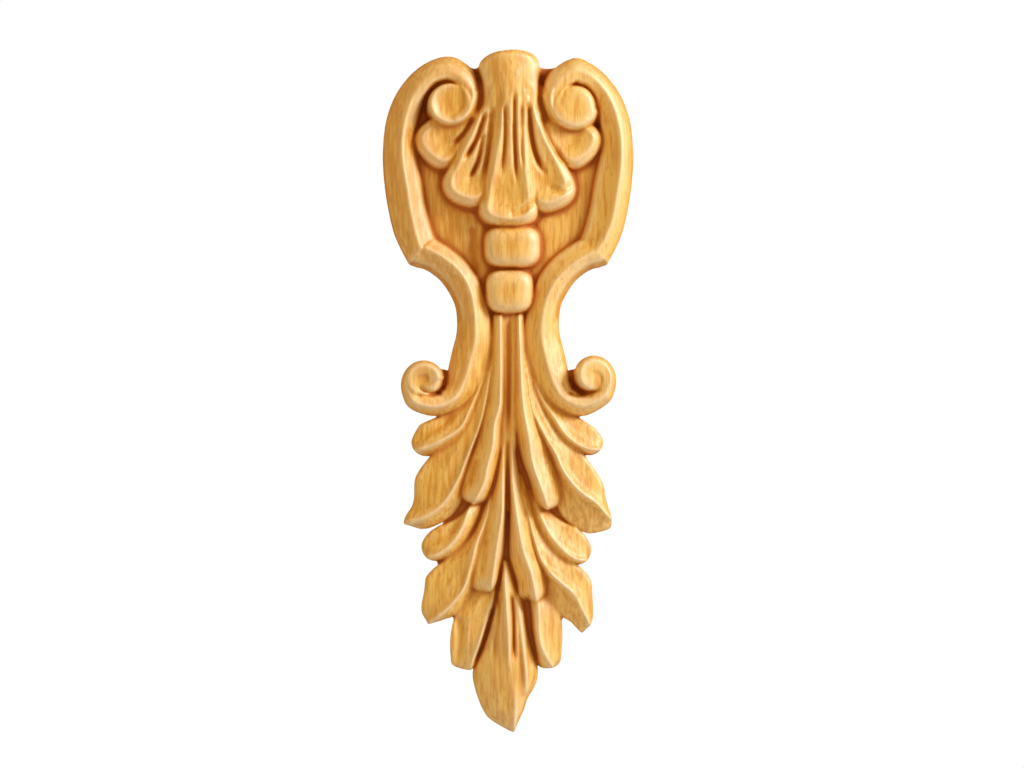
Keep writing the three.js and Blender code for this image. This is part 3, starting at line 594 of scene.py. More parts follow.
class Relief:
    """The carved face on an even grid: its height above the back and its distance inside the outline."""

    def __init__(self, height, depth, step):
        self.step = step
        self.unit = height / 100
        self.relief = depth / 100
        half_width, half_height = GRID_HALF_WIDTH * height, height / 2 + MARGIN
        across = np.arange(-half_width, half_width + step, step)
        upward = np.arange(-half_height, half_height + step, step)
        self.x, self.z = np.meshgrid(across, upward)
        self.height = np.zeros_like(self.x)
        self.inside = np.full_like(self.x, -MARGIN)

    def window(self, corners, side):
        """Slices of the grid that hold an outline and its margin."""
        low, high = corners.min(0) - MARGIN, corners.max(0) + MARGIN
        if side < 0:
            low[0], high[0] = -high[0], -low[0]
        columns = np.searchsorted(self.x[0], (low[0], high[0]))
        rows = np.searchsorted(self.z[:, 0], (low[1], high[1]))
        return slice(*rows), slice(*columns)

    def join(self, window, height, inside, fillet=0.0):
        """Raises the face to a form where the form is higher, with a fillet where they meet."""
        old = self.height[window]
        joined = np.maximum(old, height)
        if fillet:
            near = np.maximum(fillet - np.abs(old - height), 0) / fillet
            joined += fillet / 4 * near * near
        self.height[window] = joined
        self.inside[window] = np.maximum(self.inside[window], inside)

    def walled(self, top, inside, rounding, drop=None):
        """A surface with its edge rounded over, or bevelled where a drop is given, and its side cut."""
        share = np.clip(1 - inside / rounding, 0, 1)
        shoulder = rounding * (1 - np.sqrt(1 - share * share)) if drop is None else drop * share
        foot = rounding if drop is None else drop
        return np.where(inside > 0, top - shoulder, top - foot + WALL_SLOPE * inside)

    def spine(self, form):
        """Points evenly spaced along a spine, its two half-widths there, their places and its length."""
        rows = np.array(form["spine"], float) * self.unit
        fine = np.linspace(0, 1, SPINE_SAMPLES * (len(rows) - 1) + 1)
        travelled = np.concatenate([[0], np.cumsum(np.hypot(
            np.diff(blend(rows[:, 0], fine)), np.diff(blend(rows[:, 1], fine))))])
        length = travelled[-1]
        reach = min(form["tip"][0] * self.unit / length, LONGEST_TIP) if "tip" in form else 0
        samples = max(LEAST_SAMPLES, int(length * (1 - reach) / SAMPLE_STEP))
        places = np.linspace(0, 1 - reach, samples)
        if reach:
            turn = np.linspace(0, math.pi / 2, TIP_SAMPLES + 1)[1:]
            places = np.concatenate([places, 1 - reach * (1 - np.sin(turn))])
        u = np.interp(places * length, travelled, fine)
        x, z, right, left = (blend(rows[:, k], u) for k in range(4))
        return np.stack([x, z], 1), right, left, places, length

    def outline(self, form, line, right, left, places, length):
        """Corners round a form whose tip closes in a rounded end."""
        travel = np.gradient(line, axis=0)
        travel /= np.hypot(*travel.T)[:, None]
        normal = np.stack([-travel[:, 1], travel[:, 0]], 1)
        close = np.ones(len(line))
        if "tip" in form:
            reach, squareness = form["tip"][0] * self.unit / length, form["tip"][1]
            closing = np.clip((places - 1) / reach + 1, 0, 1)
            close = (1 - closing**squareness) ** (1 / squareness)
        if form.get("mitre"):
            slope = math.radians(MITRE_SLOPE)
            mitre = np.array([math.cos(slope), math.sin(slope)])
            normal[0] = mitre / (mitre @ normal[0])
        return np.concatenate([
            line + normal * (left * close)[:, None],
            (line - normal * (right * close)[:, None])[::-1],
        ])

    def add_form(self, form, side):
        """Adds one form that follows a spine."""
        form = side_form(form, side)
        line, right, left, places, length = self.spine(form)
        corners = self.outline(form, line, right, left, places, length)
        window = self.window(corners, side)
        x, z = side * self.x[window], self.z[window]
        inside = polygon_distance(x, z, corners, "mitre" in form)
        t, across = along_and_across(x, z, line, places, (right + left) / 2)
        if "crest_line" in form:
            top = self.leaf(form, x, z, inside, t)
        else:
            half = np.where(across > 0, np.interp(t, places, left), np.interp(t, places, right))
            v = np.clip(across / np.maximum(half, LEAST_HALF_WIDTH), -1, 1)
            top = self.surface(form, t, v, length)
        surface = self.walled(top, inside, form["round"], form.get("drop"))
        self.join(window, surface, inside, form.get("fillet", 0))

    def leaf(self, form, x, z, inside, t):
        """Height of a leaf that falls from its crest line to its edges."""
        line, places = smooth_line(np.array(form["crest_line"]) * self.unit)
        across = along_and_across(x, z, line, places)[1]
        within = np.clip(inside, 0, None)
        share = within / (within + np.abs(across) + TINY)
        crest = blend(form["crest"], t)
        right_edge, left_edge = blend(form["right_edge"], t), blend(form["left_edge"], t)
        right_flank = right_edge + (crest - right_edge) * swelled(share, form["right_swell"])
        left_flank = left_edge + (crest - left_edge) * swelled(share, form["left_swell"])
        top = np.where(across < 0, right_flank, left_flank) * self.relief
        return self.dipped(form, t, top)

    def dipped(self, form, t, top):
        """The surface with its tip rolled down."""
        if "dip" not in form:
            return top
        reach, drop = form["dip"]
        return top - drop * np.maximum((t - 1 + reach) / reach, 0) ** 2

    def surface(self, form, t, v, length):
        """Height of a form at t along its spine and v across it, before its edge is rounded."""
        ridge = np.clip(blend(form["ridge"], t), -RIDGE_LIMIT, RIDGE_LIMIT)
        crest = blend(form["crest"], t)
        right_edge = blend(form.get("right_edge", form["crest"]), t)
        left_edge = blend(form.get("left_edge", form["crest"]), t)
        rise = np.clip((v + 1) / (ridge + 1), 0, 1)
        fall = np.clip((1 - v) / (1 - ridge), 0, 1)
        right_flank = right_edge + (crest - right_edge) * swelled(rise, form["right_swell"])
        left_flank = left_edge + (crest - left_edge) * swelled(fall, form["left_swell"])
        top = np.where(v < ridge, right_flank, left_flank) * self.relief
        if "rim" in form:
            dish = np.clip(1 - (v / form["rim"]) ** 2, 0, 1)
            end = soft_step(((1 - t) * length - form["lip"]) / LIP_RISE)
            top -= form["hollow"] * dish * soft_step(t * HOLLOW_GROWTH - HOLLOW_START) * end
        if "step" in form:
            width, deep, end = form["step"]
            beside = soft_step((width - 1 - v) / STEP_ACROSS + 0.5)
            top -= deep * beside * soft_step((end - t) / STEP_ALONG)
        return self.dipped(form, t, top)

    def cut(self, points, half, start, end):
        """Cuts a groove along a line, or raises a rib."""
        line, places = smooth_line(np.array(points) * self.unit)
        window = self.window(line, 1)
        t, across = along_and_across(self.x[window], self.z[window], line, places)
        ends = [np.hypot(self.x[window] - x, self.z[window] - z) for x, z in (line[0], line[-1])]
        distance = np.where((t > 0) & (t < 1), np.abs(across), np.minimum(*ends))
        section = np.clip(1 - (distance / half) ** CUT_ROUNDNESS, 0, 1) ** CUT_ROUNDNESS
        fade = soft_step(t / CUT_ENTRY) * soft_step((1 - t) / CUT_EXIT)
        self.height[window] -= (start + (end - start) * t) * fade * section

    def boss_field(self, place, squareness):
        """Window of a boss, and its shares of the way across, up and out to the edge."""
        x0, z0, half_width, half_height = (value * self.unit for value in place)
        corners = np.array([(x0 - half_width, z0 - half_height), (x0 + half_width, z0 + half_height)])
        window = self.window(corners, 1)
        across, up = (self.x[window] - x0) / half_width, (self.z[window] - z0) / half_height
        share = (np.abs(across) ** squareness + np.abs(up) ** squareness) ** (1 / squareness)
        return window, across, share, (1 - share) * min(half_width, half_height)

    def add_eye(self, x, z, half_width, half_height, edge, top, dish, lean):
        """Adds the round end of a scroll."""
        window, across, share, inside = self.boss_field((x, z, half_width, half_height), 2)
        low, high = edge * self.relief, top * self.relief
        surface = low + (high - low) * np.sqrt(np.clip(1 - share**EYE_FLATNESS, 0, 1))
        surface -= dish * np.clip(1 - (share / DISH_REACH) ** 2, 0, 1) + lean * across
        self.join(window, self.walled(surface, inside, EDGE_ROUND), inside, EYE_FILLET)

    def add_bead(self, x, z, half_width, half_height, top):
        """Adds a bead rounded like a barrel."""
        window, across, share, inside = self.boss_field((x, z, half_width, half_height), BEAD_SQUARENESS)
        low, high = BEAD_EDGE * self.relief, top * self.relief
        surface = low + (high - low) * np.clip(1 - share**BEAD_FLATNESS, 0, 1) ** BEAD_SHOULDER
        self.join(window, self.walled(surface, inside, EDGE_ROUND), inside)

    def add_ground(self, relief, half_outline):
        """Adds a flat recessed ground and its mirror image."""
        corners = np.array(half_outline) * self.unit
        whole = corners[-1][0] == 0
        if whole:
            corners = np.concatenate([corners, (corners * [-1, 1])[::-1]])
        for side in (1,) if whole else (1, -1):
            window = self.window(corners, side)
            inside = polygon_distance(side * self.x[window], self.z[window], corners)
            self.join(window, relief * self.relief + np.minimum(inside, 0) * WALL_SLOPE, inside)

    def carve(self):
        """Joins all the forms, then makes the cuts."""
        for relief, half_outline in GROUNDS:
            self.add_ground(relief, half_outline)
        for side in (1, -1):
            for form in LEAVES + SHELL_LOBES + SCROLLS:
                self.add_form(form, side)
        for eye in EYES:
            self.add_eye(*eye)
        for form in (END_LEAF, MIDDLE_LOBE, SHELL_CAP):
            self.add_form(form, 1)
        for bead in BEADS:
            self.add_bead(*bead)
        for cut in CUTS:
            self.cut(*cut)

    def close_pinholes(self):
        """Fills any gap in the outline that doesn't reach the outside, level with the leaves' ground."""
        outside = self.inside <= 0
        reached = np.zeros_like(outside)
        reached[0], reached[-1], reached[:, 0], reached[:, -1] = True, True, True, True
        count = 0
        while count != reached.sum():
            count = reached.sum()
            spread = reached.copy()
            spread[1:] |= reached[:-1]
            spread[:-1] |= reached[1:]
            spread[:, 1:] |= reached[:, :-1]
            spread[:, :-1] |= reached[:, 1:]
            reached = spread & outside
        pinholes = outside & ~reached
        self.inside[pinholes] = self.step
        self.height[pinholes] = np.maximum(self.height[pinholes], GROUNDS[1][0] * self.relief)

    def finish(self, softening, tool_marks):
        """Carries the face a little past its outline, softens the cuts and adds faint tool marks."""
        known = self.inside > 0
        height = np.where(known, self.height, 0)
        for _ in range(CARRIED_ROWS):
            total, weight = np.zeros_like(height), np.zeros_like(height)
            for shift in ((0, 1), (0, -1), (1, 0), (-1, 0)):
                total += np.roll(height * known, shift, (0, 1))
                weight += np.roll(known.astype(float), shift, (0, 1))
            grown = ~known & (weight > 0)
            height[grown] = total[grown] / weight[grown]
            known = known | grown
        (wide, long), (narrow, short) = BROAD_MARKS, FINE_MARKS
        waves = np.array([
            noise.noise((x / wide, 0, z / long))
            + FINE_STRENGTH * noise.noise((x / narrow, FINE_SHIFT, z / short))
            for x, z in zip(self.x.ravel(), self.z.ravel())
        ]).reshape(height.shape)
        height = blurred(height, softening, self.step)
        weight = blurred(known.astype(float), EMPHASIS_RADIUS, self.step)
        total = blurred(np.where(known, height, 0), EMPHASIS_RADIUS, self.step)
        level = total / np.maximum(weight, LEAST_SHARE)
        height += np.where(known, EMPHASIS * (height - level), 0) + tool_marks * waves
        self.height = np.clip(height, self.relief * LEAST_RELIEF, self.relief * 100)


def painted_light_and_wear_of(relief):
    """How deep each point sits below its surroundings, painted as shade, and how far it stands out, painted
    pale partly as rubbing and partly as highlight.
    """
    solid = relief.inside > -PAINTED_LIGHT_EDGE
    filled = np.where(solid, relief.height, 0)
    share = np.maximum(blurred(solid.astype(float), WIDE_RADIUS, relief.step), LEAST_SHARE)
    wide = blurred(filled, WIDE_RADIUS, relief.step) / share - relief.height
    close = blurred(filled, CLOSE_RADIUS, relief.step) - relief.height
    # Painted shade: the deeper a point lies below its surroundings, the darker it is painted.
    painted_shade_mask = np.clip(wide / WIDE_DEPTH, 0, 1) * WIDE_WEIGHT
    painted_shade_mask += np.clip(close / CLOSE_DEPTH, 0, 1) * CLOSE_WEIGHT
    edge = relief.height - blurred(relief.height, EDGE_RADIUS, relief.step)
    # Painted pale where a point stands out or lies on an edge: partly rubbing, partly a painted highlight.
    wear_and_highlight = np.clip(-wide / WEAR_AND_HIGHLIGHT_HEIGHT, 0, 1) * WEAR_AND_HIGHLIGHT_WEIGHT
    wear_and_highlight += np.clip(edge / EDGE_HEIGHT, 0, 1) * EDGE_WEIGHT
    return np.clip(painted_shade_mask, 0, 1), wear_and_highlight


class FaceMesh:
    """Vertices and faces of the carved face, clipped at its outline, with walls and a flat back."""

    def __init__(self, relief, channels):
        self.relief = relief
        self.channels = [channel.ravel() for channel in channels]
        self.points, self.values, self.faces = [], [], []
        self.lookup = {}

    def corner(self, row, column):
        """Vertex on the grid."""
        key = (row, column)
        if key not in self.lookup:
            grid, flat = self.relief, row * self.relief.x.shape[1] + column
            self.lookup[key] = len(self.points)
            self.points.append((grid.x[key], -grid.height[key], grid.z[key]))
            self.values.append([channel[flat] for channel in self.channels])
        return self.lookup[key]

    def crossing(self, a, b):
        """Vertex where the outline crosses between two grid corners."""
        key = (a, b) if a < b else (b, a)
        if key not in self.lookup:
            grid, width = self.relief, self.relief.x.shape[1]
            (a, b), inside = key, self.relief.inside
            share = min(max(inside[a] / (inside[a] - inside[b]), CLOSEST), 1 - CLOSEST)
            place = [
                float(field[a] + (field[b] - field[a]) * share) for field in (grid.x, grid.height, grid.z)
            ]
            self.lookup[key] = len(self.points)
            self.points.append((place[0], -place[1], place[2]))
            first, second = a[0] * width + a[1], b[0] * width + b[1]
            self.values.append([
                channel[first] + (channel[second] - channel[first]) * share for channel in self.channels
            ])
        return self.lookup[key]

    def clip(self):
        """Faces of the front: whole squares inside, and clipped squares along the outline."""
        inside = self.relief.inside > 0
        covered = inside[:-1, :-1].astype(int) + inside[1:, :-1] + inside[:-1, 1:] + inside[1:, 1:]
        for row, column in np.argwhere(covered > 0):
            ring = [(row, column), (row, column + 1), (row + 1, column + 1), (row + 1, column)]
            ring = [(int(r), int(c)) for r, c in ring]
            if covered[row, column] == 4:
                self.faces.append([self.corner(*place) for place in ring])
                continue
            opposite = covered[row, column] == 2 and inside[ring[0]] == inside[ring[2]]
            if opposite:
                for k in range(4):
                    if inside[ring[k]]:
                        before, after = ring[k - 1], ring[(k + 1) % 4]
                        self.faces.append([
                            self.crossing(before, ring[k]),
                            self.corner(*ring[k]),
                            self.crossing(ring[k], after),
                        ])
                continue
            face = []
            for k in range(4):
                here, after = ring[k], ring[(k + 1) % 4]
                if inside[here]:
                    face.append(self.corner(*here))
                if inside[here] != inside[after]:
                    face.append(self.crossing(here, after))
            self.faces.append(face)

    def outline_loops(self):
        """Loops of vertices round the outline, in the order that the front's faces use them."""
        edges = {}
        for face in self.faces:
            for a, b in zip(face, face[1:] + face[:1]):
                edges[(a, b)] = True
        following = {a: b for a, b in edges if (b, a) not in edges}
        loops = []
        while following:
            start, here = next(iter(following.items()))
            del following[start]
            loop = [start]
            while here != start:
                loop.append(here)
                here = following.pop(here)
            loops.append(loop)
        return loops

    def close(self, rows):
        """Adds the cut sides and the flat back, and returns how many faces the back has."""
        back_faces = 0
        for loop in self.outline_loops():
            previous = loop
            for row in range(1, rows + 1):
                left = 1 - row / rows
                ring = []
                for vertex in loop:
                    x, y, z = self.points[vertex]
                    ring.append(len(self.points))
                    self.points.append((x, y * left, z))
                    # Painted shade on the cut sides, darker towards the back; these points are painted no
                    # paler.
                    self.values.append([SIDE_PAINTED_SHADE + SIDE_PAINTED_SHADE_GAIN * (1 - left), 0])
                for k in range(len(loop)):
                    n = (k + 1) % len(loop)
                    self.faces.append([previous[n], previous[k], ring[k], ring[n]])
                previous = ring
            flat = [Vector((self.points[v][0], self.points[v][2], 0)) for v in previous]
            for triangle in tessellate_polygon([flat]):
                a, b, c = (flat[k] for k in triangle)
                turned = (b - a).cross(c - a).z < 0
                order = triangle if turned else triangle[::-1]
                self.faces.append([previous[k] for k in order])
                back_faces += 1
        return back_faces


class Wire:
    """A shader socket that can be used in sums and products; each one adds a Math node."""

    def __init__(self, sheet, socket):
        self.sheet, self.socket = sheet, socket

    def math(self, operation, first, second):
        """One Math node."""
        return self.sheet.node("ShaderNodeMath", {"operation": operation}, {0: first, 1: second})

    def __add__(self, other):
        return self.math("ADD", self, other)

    def __radd__(self, other):
        return self.math("ADD", other, self)

    def __sub__(self, other):
        return self.math("SUBTRACT", self, other)

    def __rsub__(self, other):
        return self.math("SUBTRACT", other, self)

    def __mul__(self, other):
        return self.math("MULTIPLY", self, other)

    def __rmul__(self, other):
        return self.math("MULTIPLY", other, self)

    def __pow__(self, other):
        return self.math("POWER", self, other)

    def __rpow__(self, other):
        return self.math("POWER", other, self)

    def clamped(self):
        """The value held between 0 and 1."""
        return self.sheet.node("ShaderNodeClamp", {}, {"Value": self})


class Sheet:
    """The nodes of one material or world."""

    def __init__(self, owner):
        owner.use_nodes = True
        self.tree = owner.node_tree
        self.tree.nodes.clear()

    def node(self, kind, settings=None, inputs=None, output=0):
        """Adds a node, its settings first and then the values or links of its sockets."""
        made = self.tree.nodes.new(kind)
        for name, value in (settings or {}).items():
            setattr(made, name, value)
        for key, value in (inputs or {}).items():
            if isinstance(value, Wire):
                self.tree.links.new(value.socket, made.inputs[key])
            else:
                made.inputs[key].default_value = value
        return Wire(self, made.outputs[output]) if made.outputs else made

    def mix(self, share, first, second):
        """A colour between two colours."""
        return self.node("ShaderNodeMix", {"data_type": "RGBA"}, {0: share, 6: first, 7: second}, 2)

    def noise(self, place, stretch, detail, roughness=0.5):
        """Noise with cells of that many to the metre along x, y and z."""
        stretched = self.node("ShaderNodeVectorMath", {"operation": "MULTIPLY"}, {0: place, 1: stretch})
        return self.node("ShaderNodeTexNoise", {}, {
            "Vector": stretched, "Scale": 1.0, "Detail": detail, "Roughness": roughness,
        })

    def attribute(self, name):
        """A value stored on the mesh."""
        return self.node("ShaderNodeAttribute", {"attribute_name": name}, output="Fac")


def rgba(colour):
    """A colour with its opacity."""
    return (*colour, 1.0)


def wood_material(finish):
    """Golden hardwood with short dark flecks along the grain, painted shade in the recesses, and raised
    parts painted pale, partly as rubbing and partly as highlight.
    """
    material = bpy.data.materials.new("carved_wood")
    sheet = Sheet(material)
    place = sheet.node("ShaderNodeTexCoord", output="Object")
    across, along = 1 / finish.fleck_width, 1 / finish.fleck_length
    broad = sheet.noise(place, BROAD_CELLS, 2.0)
    streak_cells = (across * STREAK_ACROSS, across * STREAK_ACROSS, along * STREAK_ALONG)
    streak = sheet.noise(place, streak_cells, 3.0)
    specks = sheet.noise(place, (across, across, along), 2.0, FLECK_DETAIL)
    fleck = ((specks - FLECK_LEVEL) * FLECK_CONTRAST).clamped()
    # Masks of the painted shade and of the raised parts painted pale, partly as a highlight.
    painted_shade_mask = sheet.attribute("painted_shade_mask")
    wear_and_highlight = sheet.attribute("wear_and_highlight")
    normal = sheet.node("ShaderNodeNewGeometry", output="Normal")
    facing = sheet.node("ShaderNodeSeparateXYZ", {}, {0: normal}, "Y")
    sawn = ((facing - SAWN_FACING) * SAWN_CONTRAST).clamped()
    tone = ((broad * BROAD_WEIGHT + streak * STREAK_WEIGHT) * TONE_CONTRAST - TONE_SHIFT).clamped()
    colour = sheet.mix(tone, rgba(finish.deep_colour), rgba(finish.light_colour))
    colour = sheet.mix(fleck * finish.fleck_strength, colour, rgba(finish.fleck_colour))
    # Painted shade in the recesses, darkest at the bottom of grooves.
    colour = sheet.mix((painted_shade_mask * finish.painted_shade_strength).clamped(), colour, rgba(finish.recess_shade_colour))
    colour = sheet.mix((painted_shade_mask ** 3 * finish.painted_shade_strength).clamped(), colour, rgba(finish.deepest_shade_colour))
    # Raised parts and edges painted pale: partly rubbing, partly a painted highlight.
    colour = sheet.mix(wear_and_highlight * finish.wear_and_highlight_strength * (1 - painted_shade_mask), colour, rgba(finish.wear_and_highlight_colour))
    colour = sheet.mix(sawn, colour, sheet.mix(tone, rgba(finish.deep_colour), rgba(finish.sawn_colour)))
    saw_lines = sheet.noise(place, SAW_CELLS, 1.0)
    rough = finish.roughness + DULL_FLECK * fleck + DULL_RECESS * painted_shade_mask + DULL_BACK * sawn
    relief = fleck * FLECK_RELIEF + streak * STREAK_RELIEF + saw_lines * sawn * SAW_RELIEF
    bump = sheet.node("ShaderNodeBump", {}, {
        "Strength": BUMP_STRENGTH, "Distance": finish.grain_depth, "Height": relief,
    })
    surface = sheet.node("ShaderNodeBsdfPrincipled", {}, {
        "Base Color": colour, "Roughness": rough, "Normal": bump, "Specular IOR Level": finish.gloss,
        "Coat Weight": finish.wax * (1 - painted_shade_mask), "Coat Roughness": finish.wax_roughness,
    })
    sheet.node("ShaderNodeOutputMaterial", {}, {"Surface": surface})
    return material


def plain_material(name, colour, roughness):
    """A plain matt surface."""
    material = bpy.data.materials.new(name)
    sheet = Sheet(material)
    surface = sheet.node(
        "ShaderNodeBsdfPrincipled", {}, {"Base Color": rgba(colour), "Roughness": roughness}
    )
    sheet.node("ShaderNodeOutputMaterial", {}, {"Surface": surface})
    return material


def length_property(name, description, default):
    """A length in metres."""
    return FloatProperty(name=name, description=description, default=default, unit="LENGTH", precision=5)


def share_property(name, description, default):
    """A share, which may go past 1."""
    return FloatProperty(name=name, description=description, default=default, subtype="FACTOR")


def colour_property(name, description, default):
    """A colour without opacity."""
    return FloatVectorProperty(
        name=name, description=description, default=default, size=3, subtype="COLOR", min=0, max=1
    )


class CarvingSizes(PropertyGroup):
    """Sizes of the carved surface."""

    height: length_property("Height", "Overall height of the carving", HIGH.z - LOW.z)
    depth: length_property("Depth", "Thickness from the flat back to the highest point", HIGH.y - LOW.y)
    mesh_step: length_property("Mesh step", "Spacing of the surface mesh", 0.00043)
    softening: length_property("Softening", "How far cut edges are softened by sanding", 0.00028)
    tool_marks: length_property("Tool marks", "Height of the faint unevenness left by tools", 0.00007)
    wall_rows: IntProperty(name="Side rows", description="Rows down the cut sides", default=4, min=1)


class WoodFinish(PropertyGroup):
    """Colours and grain of the wood."""

    light_colour: colour_property("Light wood", "Pale bands of the grain", (0.87, 0.56, 0.13))
    deep_colour: colour_property("Deep wood", "Darker bands of the grain", (0.70, 0.33, 0.022))
    fleck_colour: colour_property("Flecks", "Short dark flecks along the grain", (0.40, 0.14, 0.015))
    # Colours of the painted shade in the recesses and at the bottom of grooves.
    recess_shade_colour: colour_property("Recesses", "Patina in the recesses", (0.60, 0.21, 0.008))
    deepest_shade_colour: colour_property("Deepest", "Patina at the bottom of grooves", (0.46, 0.12, 0.004))
    # Colour of the raised edges painted pale: partly rubbing, partly a painted highlight.
    wear_and_highlight_colour: colour_property("Highlit and scuffed edges", "Edges highlit and scuffed pale", (0.93, 0.77, 0.54))
    sawn_colour: colour_property("Sawn back", "Plain wood of the back", (0.68, 0.45, 0.20))
    fleck_length: length_property("Fleck length", "Length of a fleck", 0.005)
    fleck_width: length_property("Fleck width", "Width of a fleck", 0.0007)
    grain_depth: length_property("Grain depth", "Depth of the grain's relief", 0.0002)
    fleck_strength: share_property("Fleck strength", "How dark the flecks are", 0.75)
    # How far the raised parts are painted pale, partly as a highlight.
    wear_and_highlight_strength: share_property("Highlight and scuffing", "How pale the raised parts are", 0.65)
    # How dark the painted shade in the recesses is.
    painted_shade_strength: share_property("Painted shade", "How dark the recesses are", 0.95)
    roughness: share_property("Roughness", "Dullness of the finish", 0.5)
    gloss: share_property("Gloss", "Strength of reflections", 0.8)
    wax: share_property("Wax", "How much wax lies on the wood", 1.0)
    wax_roughness: share_property("Wax roughness", "Dullness of the wax", 0.5)


class StudioSettings(PropertyGroup):
    """Floor, lights and camera."""

    picture_width: length_property("Picture width", "Width that the picture takes in at the back", 0.3856)
    camera_distance: length_property("Camera distance", "Distance from the back to the camera", 1.6)
    aim_right: length_property("Aim right", "How far right of the middle the camera looks", 0.0015)
    aim_up: length_property("Aim up", "How far above the middle the camera looks", 0.0031)
    light_distance: length_property("Light distance", "Distance from the object to each light", 1.0)
    floor_drop: length_property("Floor drop", "How far below the tip the floor lies", 0.053)
    floor_radius: length_property("Floor radius", "Radius of the floor", 0.38)
    key_power: FloatProperty(
        name="Key power", description="Power of the main light", default=8.0, unit="POWER"
    )
    fill: share_property("Fill", "Strength of the light from all round", 0.67)
    fill_colour: colour_property("Fill colour", "Colour of the light from all round", (1.0, 0.70, 0.30))
    floor_colour: colour_property("Floor colour", "Colour of the floor", (0.66, 0.78, 0.98))


class CAPITAL_OT_carving(Operator):
    """Builds the carved wood in the place of its frame"""

    bl_idname = "capital.carving"
    bl_label = "Carving"

    def execute(self, context):
        sizes = context.scene.capital_sizes
        relief = Relief(sizes.height / MM, sizes.depth / MM, sizes.mesh_step / MM)
        relief.carve()
        relief.close_pinholes()
        relief.finish(sizes.softening / MM, sizes.tool_marks / MM)
        face = FaceMesh(relief, painted_light_and_wear_of(relief))
        face.clip()
        back_faces = face.close(sizes.wall_rows)
        mesh = bpy.data.meshes.new("carving")
        mesh.from_pydata([[value * MM for value in point] for point in face.points], [], face.faces)
        smooth = [True] * (len(face.faces) - back_faces) + [False] * back_faces
        mesh.polygons.foreach_set("use_smooth", smooth)
        # Stores the painted shade and the pale raised parts, partly a painted highlight, on the points.
        for k, name in enumerate(("painted_shade_mask", "wear_and_highlight")):
            attribute = mesh.attributes.new(name, "FLOAT", "POINT")
            attribute.data.foreach_set("value", [values[k] for values in face.values])
        if mesh.validate():
            raise RuntimeError("the carved mesh had faces that had to be mended")
        mesh.update()
        piece = bpy.data.objects.new("carving", mesh)
        context.scene.collection.objects.link(piece)
        mesh.materials.append(wood_material(context.scene.capital_finish))
        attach(piece, "root")
        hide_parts(NODE)
        triangles = sum(len(corners) - 2 for corners in face.faces)
        print("carving:", len(mesh.vertices), "vertices,", triangles, "triangles")
        return {"FINISHED"}


def soft_light(context, name, power, azimuth, elevation, size, distance):
    """A square soft light aimed at the origin; azimuth 0 is straight in front and 90 is to the right."""
    data = bpy.data.lights.new(name, "AREA")
    data.energy, data.size = power, size
    light = bpy.data.objects.new(name, data)
    a, e = math.radians(azimuth), math.radians(elevation)
    away = Vector((math.sin(a) * math.cos(e), -math.cos(a) * math.cos(e), math.sin(e)))
    light.location = away * distance
    light.rotation_euler = away.to_track_quat("Z", "Y").to_euler()
    context.scene.collection.objects.link(light)


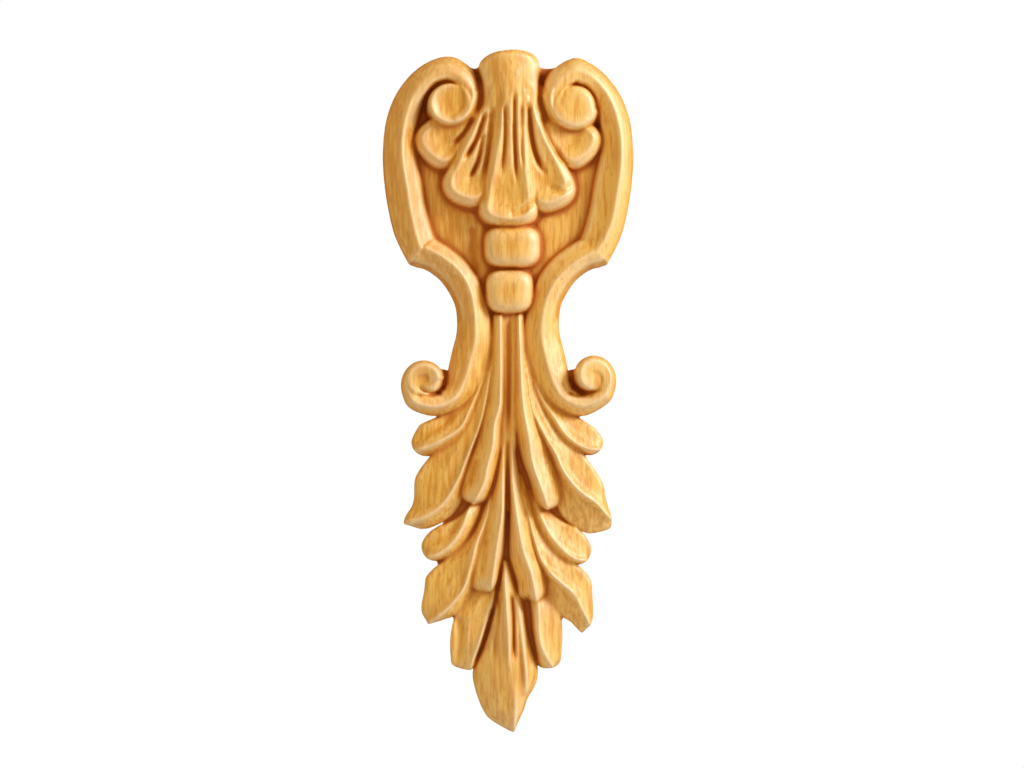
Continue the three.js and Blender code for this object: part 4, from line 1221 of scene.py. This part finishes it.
class CAPITAL_OT_stage(Operator):
    """Makes the plain floor, the soft lights, the white surroundings and the camera"""

    bl_idname = "capital.stage"
    bl_label = "Stage"

    def execute(self, context):
        scene, studio = context.scene, context.scene.capital_studio
        self.make_floor(context, studio)
        soft_light(
            context, "key", studio.key_power, KEY_AZIMUTH, KEY_ELEVATION, KEY_SIZE, studio.light_distance
        )
        self.make_surroundings(scene, studio)
        self.make_camera(scene, studio)
        scene.view_settings.view_transform = "Standard"
        return {"FINISHED"}

    def make_floor(self, context, studio):
        """A round floor below the carving."""
        radius, level = studio.floor_radius, LOW.z - studio.floor_drop
        angles = [2 * math.pi * i / FLOOR_SIDES for i in range(FLOOR_SIDES)]
        ring = [(radius * math.cos(angle), radius * math.sin(angle), level) for angle in angles]
        mesh = bpy.data.meshes.new("floor")
        mesh.from_pydata(ring, [], [list(range(FLOOR_SIDES))])
        mesh.materials.append(plain_material("pale_floor", studio.floor_colour, FLOOR_ROUGHNESS))
        floor = bpy.data.objects.new("floor", mesh)
        context.scene.collection.objects.link(floor)

    def make_surroundings(self, scene, studio):
        """White to look at, and a softer light on the carving."""
        scene.world = bpy.data.worlds.new("surroundings")
        sheet = Sheet(scene.world)
        seen = sheet.node("ShaderNodeLightPath", output="Is Camera Ray")
        glow = sheet.node(
            "ShaderNodeBackground", {}, {"Color": rgba(studio.fill_colour), "Strength": studio.fill}
        )
        white = sheet.node("ShaderNodeBackground", {}, {"Color": rgba(WHITE), "Strength": 1.0})
        both = sheet.node("ShaderNodeMixShader", {}, {0: seen, 1: glow, 2: white})
        sheet.node("ShaderNodeOutputWorld", {}, {"Surface": both})

    def make_camera(self, scene, studio):
        """A long lens straight in front, so that the carving shows as it is drawn."""
        data = bpy.data.cameras.new("camera")
        data.lens = data.sensor_width * studio.camera_distance / studio.picture_width
        data.clip_end = CAMERA_REACH
        camera = bpy.data.objects.new("camera", data)
        camera.location = (studio.aim_right, -studio.camera_distance, studio.aim_up)
        camera.rotation_euler = (math.pi / 2, 0, 0)
        scene.collection.objects.link(camera)
        scene.camera = camera


class CAPITAL_PT_panel(Panel):
    """Lists the pieces and their settings"""

    bl_idname = "CAPITAL_PT_panel"
    bl_label = "Pilaster Capital"
    bl_space_type = "VIEW_3D"
    bl_region_type = "UI"
    bl_category = "Capital"

    def draw(self, context):
        for operator, group in (
            (CAPITAL_OT_carving, context.scene.capital_sizes),
            (None, context.scene.capital_finish),
            (CAPITAL_OT_stage, context.scene.capital_studio),
        ):
            box = self.layout.box()
            for name in group.__annotations__:
                box.prop(group, name)
            if operator:
                box.operator(operator.bl_idname)


GROUPS = {"capital_sizes": CarvingSizes, "capital_finish": WoodFinish, "capital_studio": StudioSettings}
CLASSES = [*GROUPS.values(), CAPITAL_OT_carving, CAPITAL_OT_stage, CAPITAL_PT_panel]


def register():
    for kind in CLASSES:
        bpy.utils.register_class(kind)
    for name, group in GROUPS.items():
        setattr(bpy.types.Scene, name, PointerProperty(type=group))


def unregister():
    for name in GROUPS:
        delattr(bpy.types.Scene, name)
    for kind in reversed(CLASSES):
        bpy.utils.unregister_class(kind)


def main():
    register()
    bpy.ops.capital.carving()
    bpy.ops.capital.stage()


if __name__ == "__main__":
    main()
